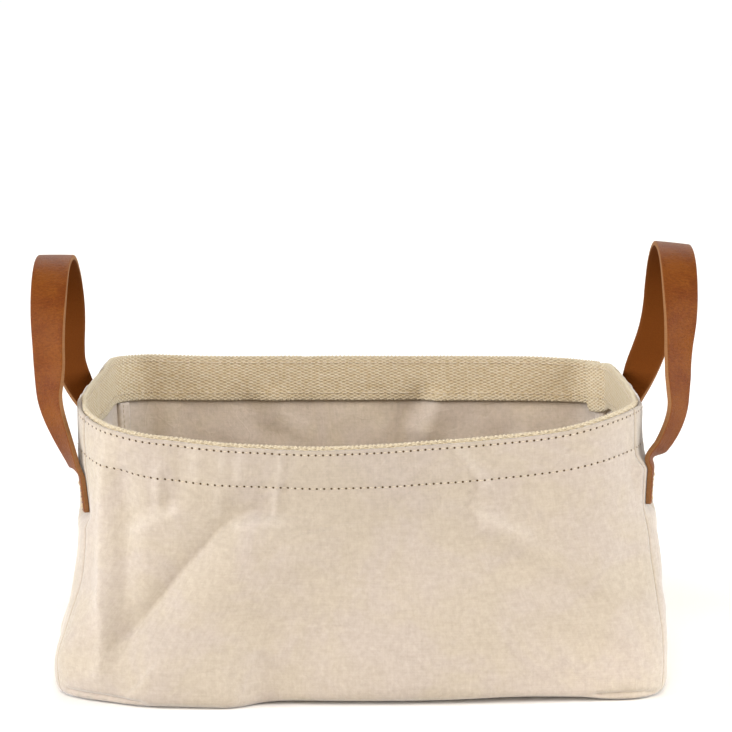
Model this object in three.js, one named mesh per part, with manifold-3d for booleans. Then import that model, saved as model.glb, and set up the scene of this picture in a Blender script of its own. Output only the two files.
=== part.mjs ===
// A soft rectangular storage bin: four canvas wall panels and a canvas bottom, sewn together with
// their seam allowances inside, a webbing band sewn inside the rim, and a leather strap handle on
// each end. Millimetres, X left to right, Y front to back, Z up, origin under the middle of the bottom.
import * as THREE from "three";
import { mergeVertices } from "three/addons/utils/BufferGeometryUtils.js";
import Module from "manifold-3d";

const wasm = await Module();
wasm.setup();

// ---- Driving dimensions ----
const CLEARANCE = 0.3; // air between two pieces that touch

const CANVAS_THICKNESS = 1.2;
const CANVAS_HEIGHT = 167.5; // floor to the folded top edge, away from the sag
const HEM_DEPTH = 26; // the canvas folded to the inside along the rim
const FOLD_GAP = 0.2; // air between the two layers of the hem
const FOOT_HEIGHT = 20; // the walls round under between here and the floor
const FOOT_INSET = 9;
const SEAM_ALLOWANCE = 8;

const WIDTH = 361; // over the end walls at the foot, without their bow
const DEPTH = 254; // over the front and back walls at the foot, without their bow
// How far each end wall stands in from the foot at its narrowest height and at the rim.
const LEFT_END = { waistInset: 15, rimInset: 12.5, waistHeight: 98 };
const RIGHT_END = { waistInset: 14.7, rimInset: 14.9, waistHeight: 160 };
// How far the front and back walls stand in at the rim, and how far the middle of each bows out.
const FRONT_SIDE = { rimInset: 10, bowFoot: 13, bowRim: 12 };
const BACK_SIDE = { rimInset: 13, bowFoot: 3, bowRim: 3 };
const END_BOW = 4;
// Plan radius of the two front corners and of the two back corners.
const FRONT_CORNER = { foot: 24, rim: 50 };
const BACK_CORNER = { foot: 24, rim: 28 };
const FRONT_CORNER_OPENED = 113; // height at which the front corners reach their rim radius
const SEAM_TURN = 29; // degrees round each corner, from the end wall to the corner seam

// The rim sinks in the middle of the front: its depth, where it is lowest, and how far along the
// rim the lowest stretch and the whole dip reach to each side of that.
const RIM_SAG = 18;
const SAG_CENTRE = -40;
const SAG_LEFT = { level: 30, end: 205 };
const SAG_RIGHT = { level: 50, end: 250 };

const WEBBING_WIDTH = 30;
const WEBBING_THICKNESS = 1.8;
const WEBBING_RISE = 2; // how far its edge stands above the canvas edge
const WEBBING_LAP = 12; // overlap of its two ends at the right back corner
const WEBBING_RAMP = 8; // length over which the lapped end steps over the other one
const WEBBING_END_TO_BACK = 1; // from the lapped end to where the back wall turns straight

const THREAD = 0.7; // width of a sewing thread
const TOP_ROW_DEPTH = 2.5; // canvas edge to the upper row of stitches
const LOWER_ROW_DEPTH = 23; // canvas edge to the lower row
const CORNER_ROW_INSET = 2; // corner seam stitches, in from the wall
const BOTTOM_ROW_HEIGHT = 4;

const STRAP_WIDTH = 22;
const STRAP_THICKNESS = 3;
const STRAP_EDGE = 0.6; // bevel of the strap's edges
const SEAT_HEIGHT = 20; // length of strap that is sewn flat to the wall
const SEAT_TO_SEAM = 3.5; // front corner seam to the edge of the sewn strap
const SEAT_SPACING = 136; // between the two sewn ends of one handle, along the wall
const BEND_GAP = 0.6; // air at the line where the handle bends
const ARCH_RADIUS = 55;
const BACKING_THICKNESS = 1.5;
const BOX_STITCH = 14; // side of the square of stitches on each sewn end
const BOX_STITCH_DROP = 1; // how far the square lies below the middle of the sewn end

// Each handle: how far its sewn ends start below the canvas edge, how far the loop rises above them,
// the outward lean of the loop per millimetre of height, and the roll in degrees at the top of the
// arch. Each leg swings out from the wall by its kick over its reach, and over its turn height it
// turns until only its twist in degrees is left.
const LEFT_HANDLE = {
  seatDrop: 40.5, rise: 122, lean: 0.03, roll: 0,
  front: { kick: 14.5, reach: 40, twist: 38, turnHeight: 40 },
  back: { kick: 15, reach: 50, twist: 45, turnHeight: 46 },
};
const RIGHT_HANDLE = {
  seatDrop: 37, rise: 125.5, lean: 0.02, roll: 6,
  front: { kick: 17.5, reach: 36, twist: 46, turnHeight: 40 },
  back: { kick: 18.5, reach: 88, twist: 18, turnHeight: 54 },
};

// ---- Mesh fineness ----
const LONG_WALL_STEPS = 22;
const END_WALL_STEPS = 18;
const WALL_LEVELS = 7; // facets of a wall between its foot and its hem
const FOOT_STEPS = 3;
const FOLD_STEPS = 2;
const RIM_STEPS = 88;
const OUTLINE_POINTS = 72;
const LOOP_STEPS = 48;
const SEAT_STEPS = 4;
const RING_SIDES = 4;
const RING_STEPS = 16;
const MARCH_STEPS = 24;
const SMALL_TURN = 1e-3; // step of the finite differences, in turns of the plan curve

// ---- The plan curve: 8 stretches, numbered counter-clockwise seen from above ----
const STRETCHES = [...Array(8).keys()];
const [FRONT, FRONT_RIGHT, RIGHT, BACK_RIGHT, BACK, BACK_LEFT, LEFT, FRONT_LEFT] = STRETCHES;
const FULL_TURN = STRETCHES.length;
const QUARTER_DEGREES = 90;
const SEAM_SHARE = SEAM_TURN / QUARTER_DEGREES;

const mix = (a, b, t) => a + (b - a) * t;
const clamp01 = (t) => Math.min(1, Math.max(0, t));
const smooth = (t) => THREE.MathUtils.smoothstep(t, 0, 1);
const wallShare = (z) => clamp01((z - FOOT_HEIGHT) / (CANVAS_HEIGHT - FOOT_HEIGHT));

function halfWidth(end, z) {
  const low = smooth((z - FOOT_HEIGHT) / (end.waistHeight - FOOT_HEIGHT));
  const high = smooth((z - end.waistHeight) / (CANVAS_HEIGHT - end.waistHeight));
  return WIDTH / 2 - end.waistInset * low - (end.rimInset - end.waistInset) * high;
}

// A point of the rounded rectangle before it bows: stretch k, share t along it.
function rectanglePoint(k, t, size) {
  const { left, right, front, back, frontRadius, backRadius } = size;
  const angle = (t * Math.PI) / 2;
  const sin = Math.sin(angle);
  const cos = Math.cos(angle);
  if (k === FRONT) return [mix(frontRadius - left, right - frontRadius, t), -front];
  if (k === FRONT_RIGHT) return [right - frontRadius * (1 - sin), -front + frontRadius * (1 - cos)];
  if (k === RIGHT) return [right, mix(frontRadius - front, back - backRadius, t)];
  if (k === BACK_RIGHT) return [right - backRadius * (1 - cos), back - backRadius * (1 - sin)];
  if (k === BACK) return [mix(right - backRadius, backRadius - left, t), back];
  if (k === BACK_LEFT) return [-left + backRadius * (1 - sin), back - backRadius * (1 - cos)];
  if (k === LEFT) return [-left, mix(back - backRadius, frontRadius - front, t)];
  return [-left + frontRadius * (1 - cos), -front + frontRadius * (1 - sin)];
}

// How far the rim has sunk at a place, measured along the rim from the lowest stretch.
function sagAt(x, y, front) {
  const reach = x < SAG_CENTRE ? SAG_LEFT : SAG_RIGHT;
  const distance = Math.abs(x - SAG_CENTRE) + (y + front);
  return RIM_SAG * (1 - smooth((distance - reach.level) / (reach.end - reach.level)));
}

// The outer skin of the walls, without the foot: u runs round the plan, z is the unsunk height.
function skinPoint(u, z) {
  const share = wallShare(z);
  const opened = smooth((z - FOOT_HEIGHT) / (FRONT_CORNER_OPENED - FOOT_HEIGHT));
  const size = {
    left: halfWidth(LEFT_END, z),
    right: halfWidth(RIGHT_END, z),
    front: DEPTH / 2 - FRONT_SIDE.rimInset * share,
    back: DEPTH / 2 - BACK_SIDE.rimInset * share,
    frontRadius: mix(FRONT_CORNER.foot, FRONT_CORNER.rim, opened),
    backRadius: mix(BACK_CORNER.foot, BACK_CORNER.rim, share),
  };
  const turn = ((u % FULL_TURN) + FULL_TURN) % FULL_TURN;
  const k = Math.floor(turn);
  const [x, y] = rectanglePoint(k, turn - k, size);
  const side = y < 0 ? FRONT_SIDE : BACK_SIDE;
  const depth = y < 0 ? size.front : size.back;
  const width = x < 0 ? size.left : size.right;
  const bow = mix(side.bowFoot, side.bowRim, share);
  const acrossFront = Math.cos((Math.PI * x) / (2 * width));
  const acrossEnd = Math.cos((Math.PI * y) / (2 * depth));
  const sunk = sagAt(x, y, size.front) * smooth(z / CANVAS_HEIGHT);
  return new THREE.Vector3(
    x * (1 + (END_BOW * acrossEnd) / width),
    y * (1 + (bow * acrossFront) / depth),
    z - sunk,
  );
}

// Unit vectors of the wall at u, z: along it (counter-clockwise) and straight out of it.
function wallFrame(u, z) {
  const ahead = skinPoint(u + SMALL_TURN, z);
  const step = ahead.sub(skinPoint(u - SMALL_TURN, z));
  step.z = 0;
  const speed = step.length() / (2 * SMALL_TURN);
  const along = step.normalize();
  const out = new THREE.Vector3(along.y, -along.x, 0);
  return { along, out, speed };
}

// The point n outside the skin (n below zero is inside the bin).
function wallPoint(u, z, n) {
  return skinPoint(u, z).addScaledVector(wallFrame(u, z).out, n);
}

// The place on the plan curve that lies a distance along the wall from u, at height z.
function marchAlong(u, z, distance) {
  let place = u;
  for (let i = 0; i < MARCH_STEPS; i++) {
    place += distance / MARCH_STEPS / wallFrame(place, z).speed;
  }
  return place;
}

// ---- Solids from bent extrusions ----
function closedGeometry(geometry) {
  geometry.deleteAttribute("normal");
  geometry.deleteAttribute("uv");
  return mergeVertices(geometry);
}

// Carries every point of a geometry to its place.
function bentTo(geometry, place) {
  const position = geometry.attributes.position;
  for (let i = 0; i < position.count; i++) {
    const moved = place(position.getX(i), position.getY(i), position.getZ(i));
    position.setXYZ(i, moved.x, moved.y, moved.z);
  }
  return closedGeometry(geometry);
}

// An outline extruded over a depth of 1, then bent.
function bentExtrusion(outline, steps, place) {
  return bentTo(new THREE.ExtrudeGeometry(outline, { depth: 1, steps, bevelEnabled: false }), place);
}

function toManifold(geometry) {
  const vertProperties = Float32Array.from(geometry.attributes.position.array);
  const triVerts = Uint32Array.from(geometry.index.array);
  return new wasm.Manifold(new wasm.Mesh({ numProp: 3, vertProperties, triVerts }));
}

function toGeometry(manifold) {
  const mesh = manifold.getMesh();
  const geometry = new THREE.BufferGeometry();
  geometry.setAttribute("position", new THREE.BufferAttribute(mesh.vertProperties, mesh.numProp));
  geometry.setIndex(new THREE.BufferAttribute(mesh.triVerts, 1));
  return geometry;
}

function joined(geometries) {
  return toGeometry(geometries.map(toManifold).reduce((whole, piece) => whole.add(piece)));
}

function outlineOf(points) {
  return new THREE.Shape(points.map(([x, y]) => new THREE.Vector2(x, y)));
}

function rectangle(x0, x1, y0, y1) {
  return outlineOf([[x0, y0], [x1, y0], [x1, y1], [x0, y1]]);
}

// A section in (n, z) swept round the wall from u0 to u1; shift moves it in or out at each u.
function sweptRound(section, u0, u1, steps, shift = () => 0) {
  return bentExtrusion(section, steps, (n, z, t) => {
    const u = mix(u1, u0, t);
    return wallPoint(u, z, n + shift(u));
  });
}

// ---- Canvas walls ----
// Heights of the facets between the foot and the hem, which the seams follow too.
function wallLevels() {
  const hemBottom = CANVAS_HEIGHT - HEM_DEPTH;
  return Array.from({ length: WALL_LEVELS + 1 }, (_, i) => mix(FOOT_HEIGHT, hemBottom, i / WALL_LEVELS));
}

// Points of an elliptical arc in (n, z), each with the direction out of the cloth there.
function arcOf(centre, radii, from, to, steps) {
  return Array.from({ length: steps + 1 }, (_, i) => {
    const angle = THREE.MathUtils.degToRad(mix(from, to, i / steps));
    const [cos, sin] = [Math.cos(angle), Math.sin(angle)];
    const length = Math.hypot(radii[1] * cos, radii[0] * sin);
    return {
      n: centre[0] + radii[0] * cos,
      z: centre[1] + radii[1] * sin,
      out: [(radii[1] * cos) / length, (radii[0] * sin) / length],
    };
  });
}

// Middle of the cloth in (n, z), from the allowance of the bottom seam, which stands up inside,
// round under the foot, up the wall, over the folded edge and down the hem.
function wallPath() {
  const t = CANVAS_THICKNESS;
  const fold = (t + FOLD_GAP) / 2;
  const foldCentre = [-t / 2 - fold, CANVAS_HEIGHT - t / 2 - fold];
  const turnCentre = [-FOOT_INSET + t / 2, t / 2 + t];
  const footCentre = [-FOOT_INSET + t / 2, FOOT_HEIGHT];
  const footRadii = [FOOT_INSET - t, FOOT_HEIGHT - t / 2];
  return [
    { n: -FOOT_INSET - t / 2, z: SEAM_ALLOWANCE, out: [-1, 0] },
    ...arcOf(turnCentre, [t, t], 180, 270, FOLD_STEPS),
    ...arcOf(footCentre, footRadii, 270, 360, FOOT_STEPS).slice(1),
    ...wallLevels().slice(1).map((z) => ({ n: -t / 2, z, out: [1, 0] })),
    ...arcOf(foldCentre, [fold, fold], 0, 180, FOLD_STEPS),
    { n: -t / 2 - 2 * fold, z: CANVAS_HEIGHT - HEM_DEPTH, out: [-1, 0] },
  ];
}

// A sheet of canvas that follows the wall path, from u0 to u1 round the plan.
function canvasSheet(u0, u1, steps) {
  const path = wallPath();
  const last = path.length - 1;
  const geometry = new THREE.BoxGeometry(1, 1, 1, steps, last, 1);
  return bentTo(geometry, (x, y, z) => {
    const at = path[Math.round((y + 1 / 2) * last)];
    const offset = z * CANVAS_THICKNESS;
    return wallPoint(mix(u0, u1, x + 1 / 2), at.z + at.out[1] * offset, at.n + at.out[0] * offset);
  });
}

// A strip that stands inward from the wall beside a corner seam, between two distances from it.
function seamStrip(seam, nearSide, farSide, inner, outer) {
  const top = CANVAS_HEIGHT + WEBBING_RISE - WEBBING_WIDTH - 2 * CLEARANCE;
  const heights = [...wallLevels().filter((z) => z < top), top].reverse();
  const steps = heights.length - 1;
  const section = rectangle(nearSide, farSide, inner, outer);
  return bentExtrusion(section, steps, (s, n, t) => {
    const z = heights[Math.round(t * steps)];
    return wallPoint(seam, z, n).addScaledVector(wallFrame(seam, z).along, s);
  });
}

function seamAllowance(seam, direction) {
  const near = direction * (CLEARANCE / 2);
  const far = direction * (CLEARANCE / 2 + CANVAS_THICKNESS);
  const inner = -CANVAS_THICKNESS - SEAM_ALLOWANCE;
  const outer = -CANVAS_THICKNESS / 2;
  return seamStrip(seam, Math.min(near, far), Math.max(near, far), inner, outer);
}

// A wall from one corner seam to the next, with an allowance along each.
function wallPanel(seamBefore, seamAfter, steps) {
  const tightest = Math.min(FRONT_CORNER.foot, BACK_CORNER.foot, FRONT_CORNER.rim, BACK_CORNER.rim);
  const gap = CLEARANCE / 2 / ((tightest - FOOT_INSET) * (Math.PI / 2));
  const sheet = canvasSheet(seamBefore + gap, seamAfter - gap, steps);
  return joined([sheet, seamAllowance(seamBefore, 1), seamAllowance(seamAfter, -1)]);
}

const SEAMS = {
  frontLeft: FRONT_LEFT + SEAM_SHARE,
  frontRight: FULL_TURN + RIGHT - SEAM_SHARE,
  backRight: BACK_RIGHT + SEAM_SHARE,
  backLeft: LEFT - SEAM_SHARE,
};

// The stitches of a corner seam, on the inside, against the allowance of the long wall.
function cornerThread(seam, direction) {
  const near = direction * (CLEARANCE / 2 + CANVAS_THICKNESS + CLEARANCE);
  const far = near + direction * THREAD;
  const outer = -CANVAS_THICKNESS - CORNER_ROW_INSET;
  return seamStrip(seam, Math.min(near, far), Math.max(near, far), outer - THREAD, outer);
}

// ---- Bottom ----
function planOutline(inset) {
  const points = [];
  for (let i = 0; i < OUTLINE_POINTS; i++) {
    const place = wallPoint((i / OUTLINE_POINTS) * FULL_TURN, 0, -inset);
    points.push(new THREE.Vector2(place.x, place.y));
  }
  return points;
}

function plate(points, bottom, top, holePoints) {
  const shape = new THREE.Shape(points);
  if (holePoints) shape.holes.push(new THREE.Path(holePoints));
  const geometry = new THREE.ExtrudeGeometry(shape, { depth: top - bottom, bevelEnabled: false });
  geometry.translate(0, 0, bottom);
  return closedGeometry(geometry);
}

const BOTTOM_INSET = FOOT_INSET + CANVAS_THICKNESS + CLEARANCE;

// The bottom is a flat sheet whose edge turns up against the allowance of the walls.
function bottomPanel() {
  const block = plate(planOutline(BOTTOM_INSET), 0, SEAM_ALLOWANCE);
  const pocket = plate(planOutline(BOTTOM_INSET + CANVAS_THICKNESS), CANVAS_THICKNESS, 2 * SEAM_ALLOWANCE);
  return toGeometry(toManifold(block).subtract(toManifold(pocket)));
}

function bottomThread() {
  const outer = BOTTOM_INSET + CANVAS_THICKNESS + CLEARANCE;
  const holePoints = planOutline(outer + THREAD);
  return plate(planOutline(outer), BOTTOM_ROW_HEIGHT, BOTTOM_ROW_HEIGHT + THREAD, holePoints);
}

// ---- Webbing and the two rows of stitches round the rim ----
const LAP_END = marchAlong(FULL_TURN + BACK, CANVAS_HEIGHT, -WEBBING_END_TO_BACK);
const WEBBING_START = marchAlong(LAP_END, CANVAS_HEIGHT, -WEBBING_LAP) - FULL_TURN;
const RAMP_START = marchAlong(WEBBING_START + FULL_TURN, CANVAS_HEIGHT, -WEBBING_RAMP);
const THREAD_START = marchAlong(LAP_END, CANVAS_HEIGHT, 2 * CLEARANCE) - FULL_TURN;
const WEBBING_OUTER = -2 * CANVAS_THICKNESS - FOLD_GAP - CLEARANCE;

// The last stretch of the webbing steps inward over its own beginning.
function lapShift(u) {
  const climbed = smooth((u - RAMP_START) / (WEBBING_START + FULL_TURN - RAMP_START));
  return -(WEBBING_THICKNESS + CLEARANCE) * climbed;
}

function webbing() {
  const top = CANVAS_HEIGHT + WEBBING_RISE;
  const inner = WEBBING_OUTER - WEBBING_THICKNESS;
  const section = rectangle(inner, WEBBING_OUTER, top - WEBBING_WIDTH, top);
  return sweptRound(section, WEBBING_START, LAP_END, RIM_STEPS, lapShift);
}

// A thread of three-sided section round the rim, at a depth below the canvas edge.
function needleThread(depth) {
  const z = CANVAS_HEIGHT - depth;
  const section = outlineOf([[CLEARANCE, z - THREAD / 2], [CLEARANCE + THREAD, z], [CLEARANCE, z + THREAD / 2]]);
  return sweptRound(section, THREAD_START, LAP_END, RIM_STEPS);
}

function bobbinThread(depth) {
  const z = CANVAS_HEIGHT - depth;
  const face = WEBBING_OUTER - WEBBING_THICKNESS - CLEARANCE;
  const section = outlineOf([[face, z - THREAD / 2], [face, z + THREAD / 2], [face - THREAD, z]]);
  return sweptRound(section, THREAD_START, LAP_END, RIM_STEPS, lapShift);
}

// ---- Handles ----
const seatTop = (handle) => CANVAS_HEIGHT - handle.seatDrop;

// Where a handle is sewn on: the middles of its front and back ends on the plan curve.
function handleSeats(handle, frontSeam, direction) {
  const z = seatTop(handle);
  const front = marchAlong(frontSeam, z, direction * (SEAT_TO_SEAM + STRAP_WIDTH / 2));
  return { front, back: marchAlong(front, z, direction * SEAT_SPACING) };
}

// The point s along the wall and n out of it, level with the middle of the seat at height z.
function levelPoint(seat, s, z, n) {
  const u = marchAlong(seat, z, s);
  const level = skinPoint(seat, z).z;
  const point = wallPoint(u, z + level - skinPoint(u, z).z, n);
  point.z = level;
  return point;
}

// A flat piece on the wall, from inner to outer, bent to the wall's curve.
function sewnPiece(seat, halfWide, bottom, top, inner, outer) {
  return bentExtrusion(rectangle(inner, outer, bottom, top), SEAT_STEPS, (n, z, t) => {
    return levelPoint(seat, mix(halfWide, -halfWide, t), z, n);
  });
}

// A square of stitches on a sewn end: a ring of thread, pulled out from round to square.
function boxStitch(seat, handle, inner, outer) {
  const middle = seatTop(handle) - SEAT_HEIGHT / 2 - BOX_STITCH_DROP;
  const ring = new THREE.TorusGeometry(BOX_STITCH / 2, THREAD / 2, RING_SIDES, RING_STEPS);
  return bentTo(ring, (x, y, z) => {
    const square = Math.hypot(x, y) / Math.max(Math.abs(x), Math.abs(y));
    return levelPoint(seat, x * square, middle + y * square, (inner + outer) / 2 + z);
  });
}

const STRAP_MIDDLE = CLEARANCE + STRAP_THICKNESS / 2;

// The loop of a handle: middle of the strap and its directions at a share t from front to back.
function loopFrame(handle, seats, side, t) {
  const here = loopMiddle(handle, seats, side, t);
  const before = loopMiddle(handle, seats, side, t - SMALL_TURN);
  const after = loopMiddle(handle, seats, side, t + SMALL_TURN);
  const along = after.point.sub(before.point).normalize();
  const leg = t < 1 / 2 ? handle.front : handle.back;
  const quick = smooth(here.height / leg.turnHeight);
  const slow = smooth((here.height - leg.turnHeight) / (handle.rise - leg.turnHeight));
  const turn = mix(mix(QUARTER_DEGREES, leg.twist, quick), handle.roll, slow);
  const radians = THREE.MathUtils.degToRad(turn);
  const seat = t < 1 / 2 ? seats.front : seats.back;
  const wallOut = wallFrame(seat, seatTop(handle)).out;
  const sideOut = wallOut.lerp(new THREE.Vector3(side, 0, 0), quick);
  const face = new THREE.Vector3(0, -Math.cos(here.angle), Math.sin(here.angle));
  face.multiplyScalar(Math.cos(radians)).addScaledVector(sideOut.normalize(), Math.sin(radians));
  face.addScaledVector(along, -face.dot(along)).normalize();
  return { middle: here.point, face, across: new THREE.Vector3().crossVectors(face, along) };
}

function loopMiddle(handle, seats, side, t) {
  const front = wallPoint(seats.front, seatTop(handle), STRAP_MIDDLE);
  const back = wallPoint(seats.back, seatTop(handle), STRAP_MIDDLE);
  const leg = handle.rise - ARCH_RADIUS;
  const arch = Math.PI * ARCH_RADIUS;
  const run = t * (2 * leg + arch);
  const angle = THREE.MathUtils.clamp((run - leg) / ARCH_RADIUS, 0, Math.PI);
  const legHeight = run < leg ? run : 2 * leg + arch - run;
  const onArch = angle > 0 && angle < Math.PI;
  const height = onArch ? leg + ARCH_RADIUS * Math.sin(angle) : legHeight;
  const spread = mix((back.y - front.y) / 2, ARCH_RADIUS, smooth(height / leg));
  const y = onArch ? -ARCH_RADIUS * Math.cos(angle) : Math.sign(run - leg - arch / 2) * spread;
  const frontKick = handle.front.kick * smooth(height / handle.front.reach);
  const backKick = handle.back.kick * smooth(height / handle.back.reach);
  const point = new THREE.Vector3(
    mix(front.x, back.x, smooth(t)) + side * (mix(frontKick, backKick, smooth(t)) + handle.lean * height),
    (front.y + back.y) / 2 + y,
    mix(front.z, back.z, smooth(t)) + height + BEND_GAP,
  );
  return { point, height: Math.max(0, height), angle };
}

function strapSection() {
  const w = STRAP_WIDTH / 2;
  const h = STRAP_THICKNESS / 2;
  const b = STRAP_EDGE;
  return outlineOf([
    [-w + b, -h], [w - b, -h], [w, -h + b], [w, h - b], [w - b, h], [-w + b, h], [-w, h - b], [-w, -h + b],
  ]);
}

function handleLoop(handle, seats, side) {
  return bentExtrusion(strapSection(), LOOP_STEPS, (w, n, t) => {
    const { middle, face, across } = loopFrame(handle, seats, side, t);
    return middle.addScaledVector(across, w).addScaledVector(face, n);
  });
}

// ---- Materials ----
const canvas = () => new THREE.MeshStandardMaterial({ color: 0xdac8b4, roughness: 0.85, metalness: 0 });
const canvasBand = () => new THREE.MeshStandardMaterial({ color: 0xcdb392, roughness: 0.95, metalness: 0 });
const leather = () => new THREE.MeshStandardMaterial({ color: 0x8f5730, roughness: 0.5, metalness: 0 });
const cottonThread = () => new THREE.MeshStandardMaterial({ color: 0xb8a286, roughness: 0.9, metalness: 0 });

// ---- Assembly ----
const group = new THREE.Group();

function addPiece(name, geometry, material) {
  const mesh = new THREE.Mesh(geometry, material);
  mesh.name = name;
  group.add(mesh);
}

addPiece("front_panel", wallPanel(SEAMS.frontLeft, SEAMS.frontRight, LONG_WALL_STEPS), canvas());
addPiece("back_panel", wallPanel(SEAMS.backRight, SEAMS.backLeft, LONG_WALL_STEPS), canvas());
addPiece("left_end_panel", wallPanel(SEAMS.backLeft, SEAMS.frontLeft, END_WALL_STEPS), canvas());
addPiece("right_end_panel", wallPanel(SEAMS.frontRight - FULL_TURN, SEAMS.backRight, END_WALL_STEPS), canvas());
addPiece("bottom_panel", bottomPanel(), canvas());
addPiece("bottom_seam_thread", bottomThread(), cottonThread());
addPiece("front_left_seam_thread", cornerThread(SEAMS.frontLeft, 1), cottonThread());
addPiece("front_right_seam_thread", cornerThread(SEAMS.frontRight, -1), cottonThread());
addPiece("back_right_seam_thread", cornerThread(SEAMS.backRight, 1), cottonThread());
addPiece("back_left_seam_thread", cornerThread(SEAMS.backLeft, -1), cottonThread());
addPiece("rim_webbing", webbing(), canvasBand());
addPiece("rim_top_thread", needleThread(TOP_ROW_DEPTH), cottonThread());
addPiece("rim_lower_thread", needleThread(LOWER_ROW_DEPTH), cottonThread());
addPiece("rim_top_bobbin_thread", bobbinThread(TOP_ROW_DEPTH), cottonThread());
addPiece("rim_lower_bobbin_thread", bobbinThread(LOWER_ROW_DEPTH), cottonThread());

// The front seams lie at one end of each handle's wall; its seats go back from there.
function addHandle(name, handle, frontSeam, side) {
  const seats = handleSeats(handle, frontSeam, side);
  const top = seatTop(handle);
  const bottom = top - SEAT_HEIGHT;
  const half = STRAP_WIDTH / 2;
  const threadFace = CLEARANCE + STRAP_THICKNESS + CLEARANCE;
  const backing = -CANVAS_THICKNESS - CLEARANCE;
  const backingFace = backing - BACKING_THICKNESS - CLEARANCE;
  addPiece(`${name}_handle_loop`, handleLoop(handle, seats, side), leather());
  for (const end of ["front", "back"]) {
    const seat = seats[end];
    const strap = sewnPiece(seat, half, bottom, top, CLEARANCE, CLEARANCE + STRAP_THICKNESS);
    const patch = sewnPiece(seat, half, bottom, top, backing - BACKING_THICKNESS, backing);
    const outside = boxStitch(seat, handle, threadFace, threadFace + THREAD);
    const inside = boxStitch(seat, handle, backingFace - THREAD, backingFace);
    addPiece(`${name}_handle_${end}_end`, strap, leather());
    addPiece(`${name}_handle_${end}_backing`, patch, leather());
    addPiece(`${name}_handle_${end}_box_thread`, outside, cottonThread());
    addPiece(`${name}_handle_${end}_bobbin_thread`, inside, cottonThread());
  }
}

addHandle("left", LEFT_HANDLE, SEAMS.frontLeft, -1);
addHandle("right", RIGHT_HANDLE, SEAMS.frontRight - FULL_TURN, 1);

export default group;
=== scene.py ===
"""A soft storage bin of washed cotton canvas, with webbing inside its rim and two leather strap handles.

Every length is in millimetres until a mesh is written, X to the right, Y to the back and Z up. The
bin's outer skin is one function of a place u round the plan and a height z, and every sewn piece is
laid on it: canvas walls, webbing, stitches, strap ends and their backing patches.
"""

import logging
import math
from collections.abc import Callable, Sequence
from dataclasses import dataclass, field
from enum import Enum
from functools import cached_property

import bpy
import numpy as np
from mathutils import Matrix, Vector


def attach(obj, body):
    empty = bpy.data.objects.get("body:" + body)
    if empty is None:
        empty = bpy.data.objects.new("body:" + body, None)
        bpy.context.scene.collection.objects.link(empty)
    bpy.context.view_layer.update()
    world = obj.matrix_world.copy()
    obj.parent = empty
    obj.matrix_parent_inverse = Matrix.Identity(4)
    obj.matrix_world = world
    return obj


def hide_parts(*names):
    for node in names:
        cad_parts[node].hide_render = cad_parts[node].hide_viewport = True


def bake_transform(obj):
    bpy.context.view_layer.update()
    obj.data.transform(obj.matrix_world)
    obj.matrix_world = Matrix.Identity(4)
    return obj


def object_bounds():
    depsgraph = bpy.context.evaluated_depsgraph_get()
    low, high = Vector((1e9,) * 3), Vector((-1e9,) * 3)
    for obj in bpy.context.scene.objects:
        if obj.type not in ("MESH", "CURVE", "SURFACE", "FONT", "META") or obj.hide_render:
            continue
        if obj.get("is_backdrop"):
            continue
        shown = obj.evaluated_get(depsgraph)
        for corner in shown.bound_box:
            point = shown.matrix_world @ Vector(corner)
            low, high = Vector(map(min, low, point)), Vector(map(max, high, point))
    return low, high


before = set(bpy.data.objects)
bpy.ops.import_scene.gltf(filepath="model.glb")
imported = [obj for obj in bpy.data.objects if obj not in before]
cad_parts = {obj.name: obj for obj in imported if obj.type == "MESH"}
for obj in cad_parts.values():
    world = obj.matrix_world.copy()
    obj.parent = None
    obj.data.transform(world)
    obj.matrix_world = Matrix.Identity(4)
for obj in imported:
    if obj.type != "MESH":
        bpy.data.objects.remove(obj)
CAD_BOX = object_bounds()

LOG = logging.getLogger("storage_bin")
METRES = 0.001  # one millimetre, in metres
PER_METRE = 1000.0  # divided by a size in millimetres, the scale of a pattern in metres
Array = np.ndarray
Material = bpy.types.Material
Socket = bpy.types.NodeSocket
Place = Callable[[Array, Array, Array], Array]


def mix(a: Array | float, b: Array | float, t: Array | float) -> Array | float:
    """The straight mixture a + (b - a) t."""
    return a + (b - a) * t


def smooth(t: Array | float) -> Array:
    """The smooth step 3t^2 - 2t^3, with t held between 0 and 1."""
    held = np.clip(t, 0.0, 1.0)
    return held * held * (3.0 - 2.0 * held)


def bell(distance: Array, width: float) -> Array:
    """The bell curve exp(-(distance / width)^2)."""
    return np.exp(-np.square(distance / width))


def unit(vectors: Array) -> Array:
    """The vectors, each divided by its length."""
    return vectors / np.linalg.norm(vectors, axis=-1, keepdims=True)


def length_run(line: Array) -> Array:
    """Length from the first point of a line to each of its points."""
    return np.concatenate([[0.0], np.cumsum(np.linalg.norm(np.diff(line, axis=0), axis=1))])


def floats(*values: Array | float) -> list[Array]:
    """The values as arrays of numbers, all of one shape."""
    return np.broadcast_arrays(*(np.asarray(value, float) for value in values))


def paired(a: Array, b: Array) -> Array:
    """Places (a, b), with a last axis of 2."""
    return np.stack(np.broadcast_arrays(a, b), axis=-1)


def linear(code: str) -> tuple[float, float, float, float]:
    """Turns an sRGB hex colour into the linear colour that a shader takes.

    Args:
        code: Six hex digits, red, green and blue.

    Returns:
        Linear red, green, blue and an alpha of 1.
    """
    shares = [int(code[i : i + 2], 16) / 255 for i in (0, 2, 4)]
    bright = [s / 12.92 if s <= 0.04045 else ((s + 0.055) / 1.055) ** 2.4 for s in shares]
    return (bright[0], bright[1], bright[2], 1.0)


# ---- Surfaces and pieces ----


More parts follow.
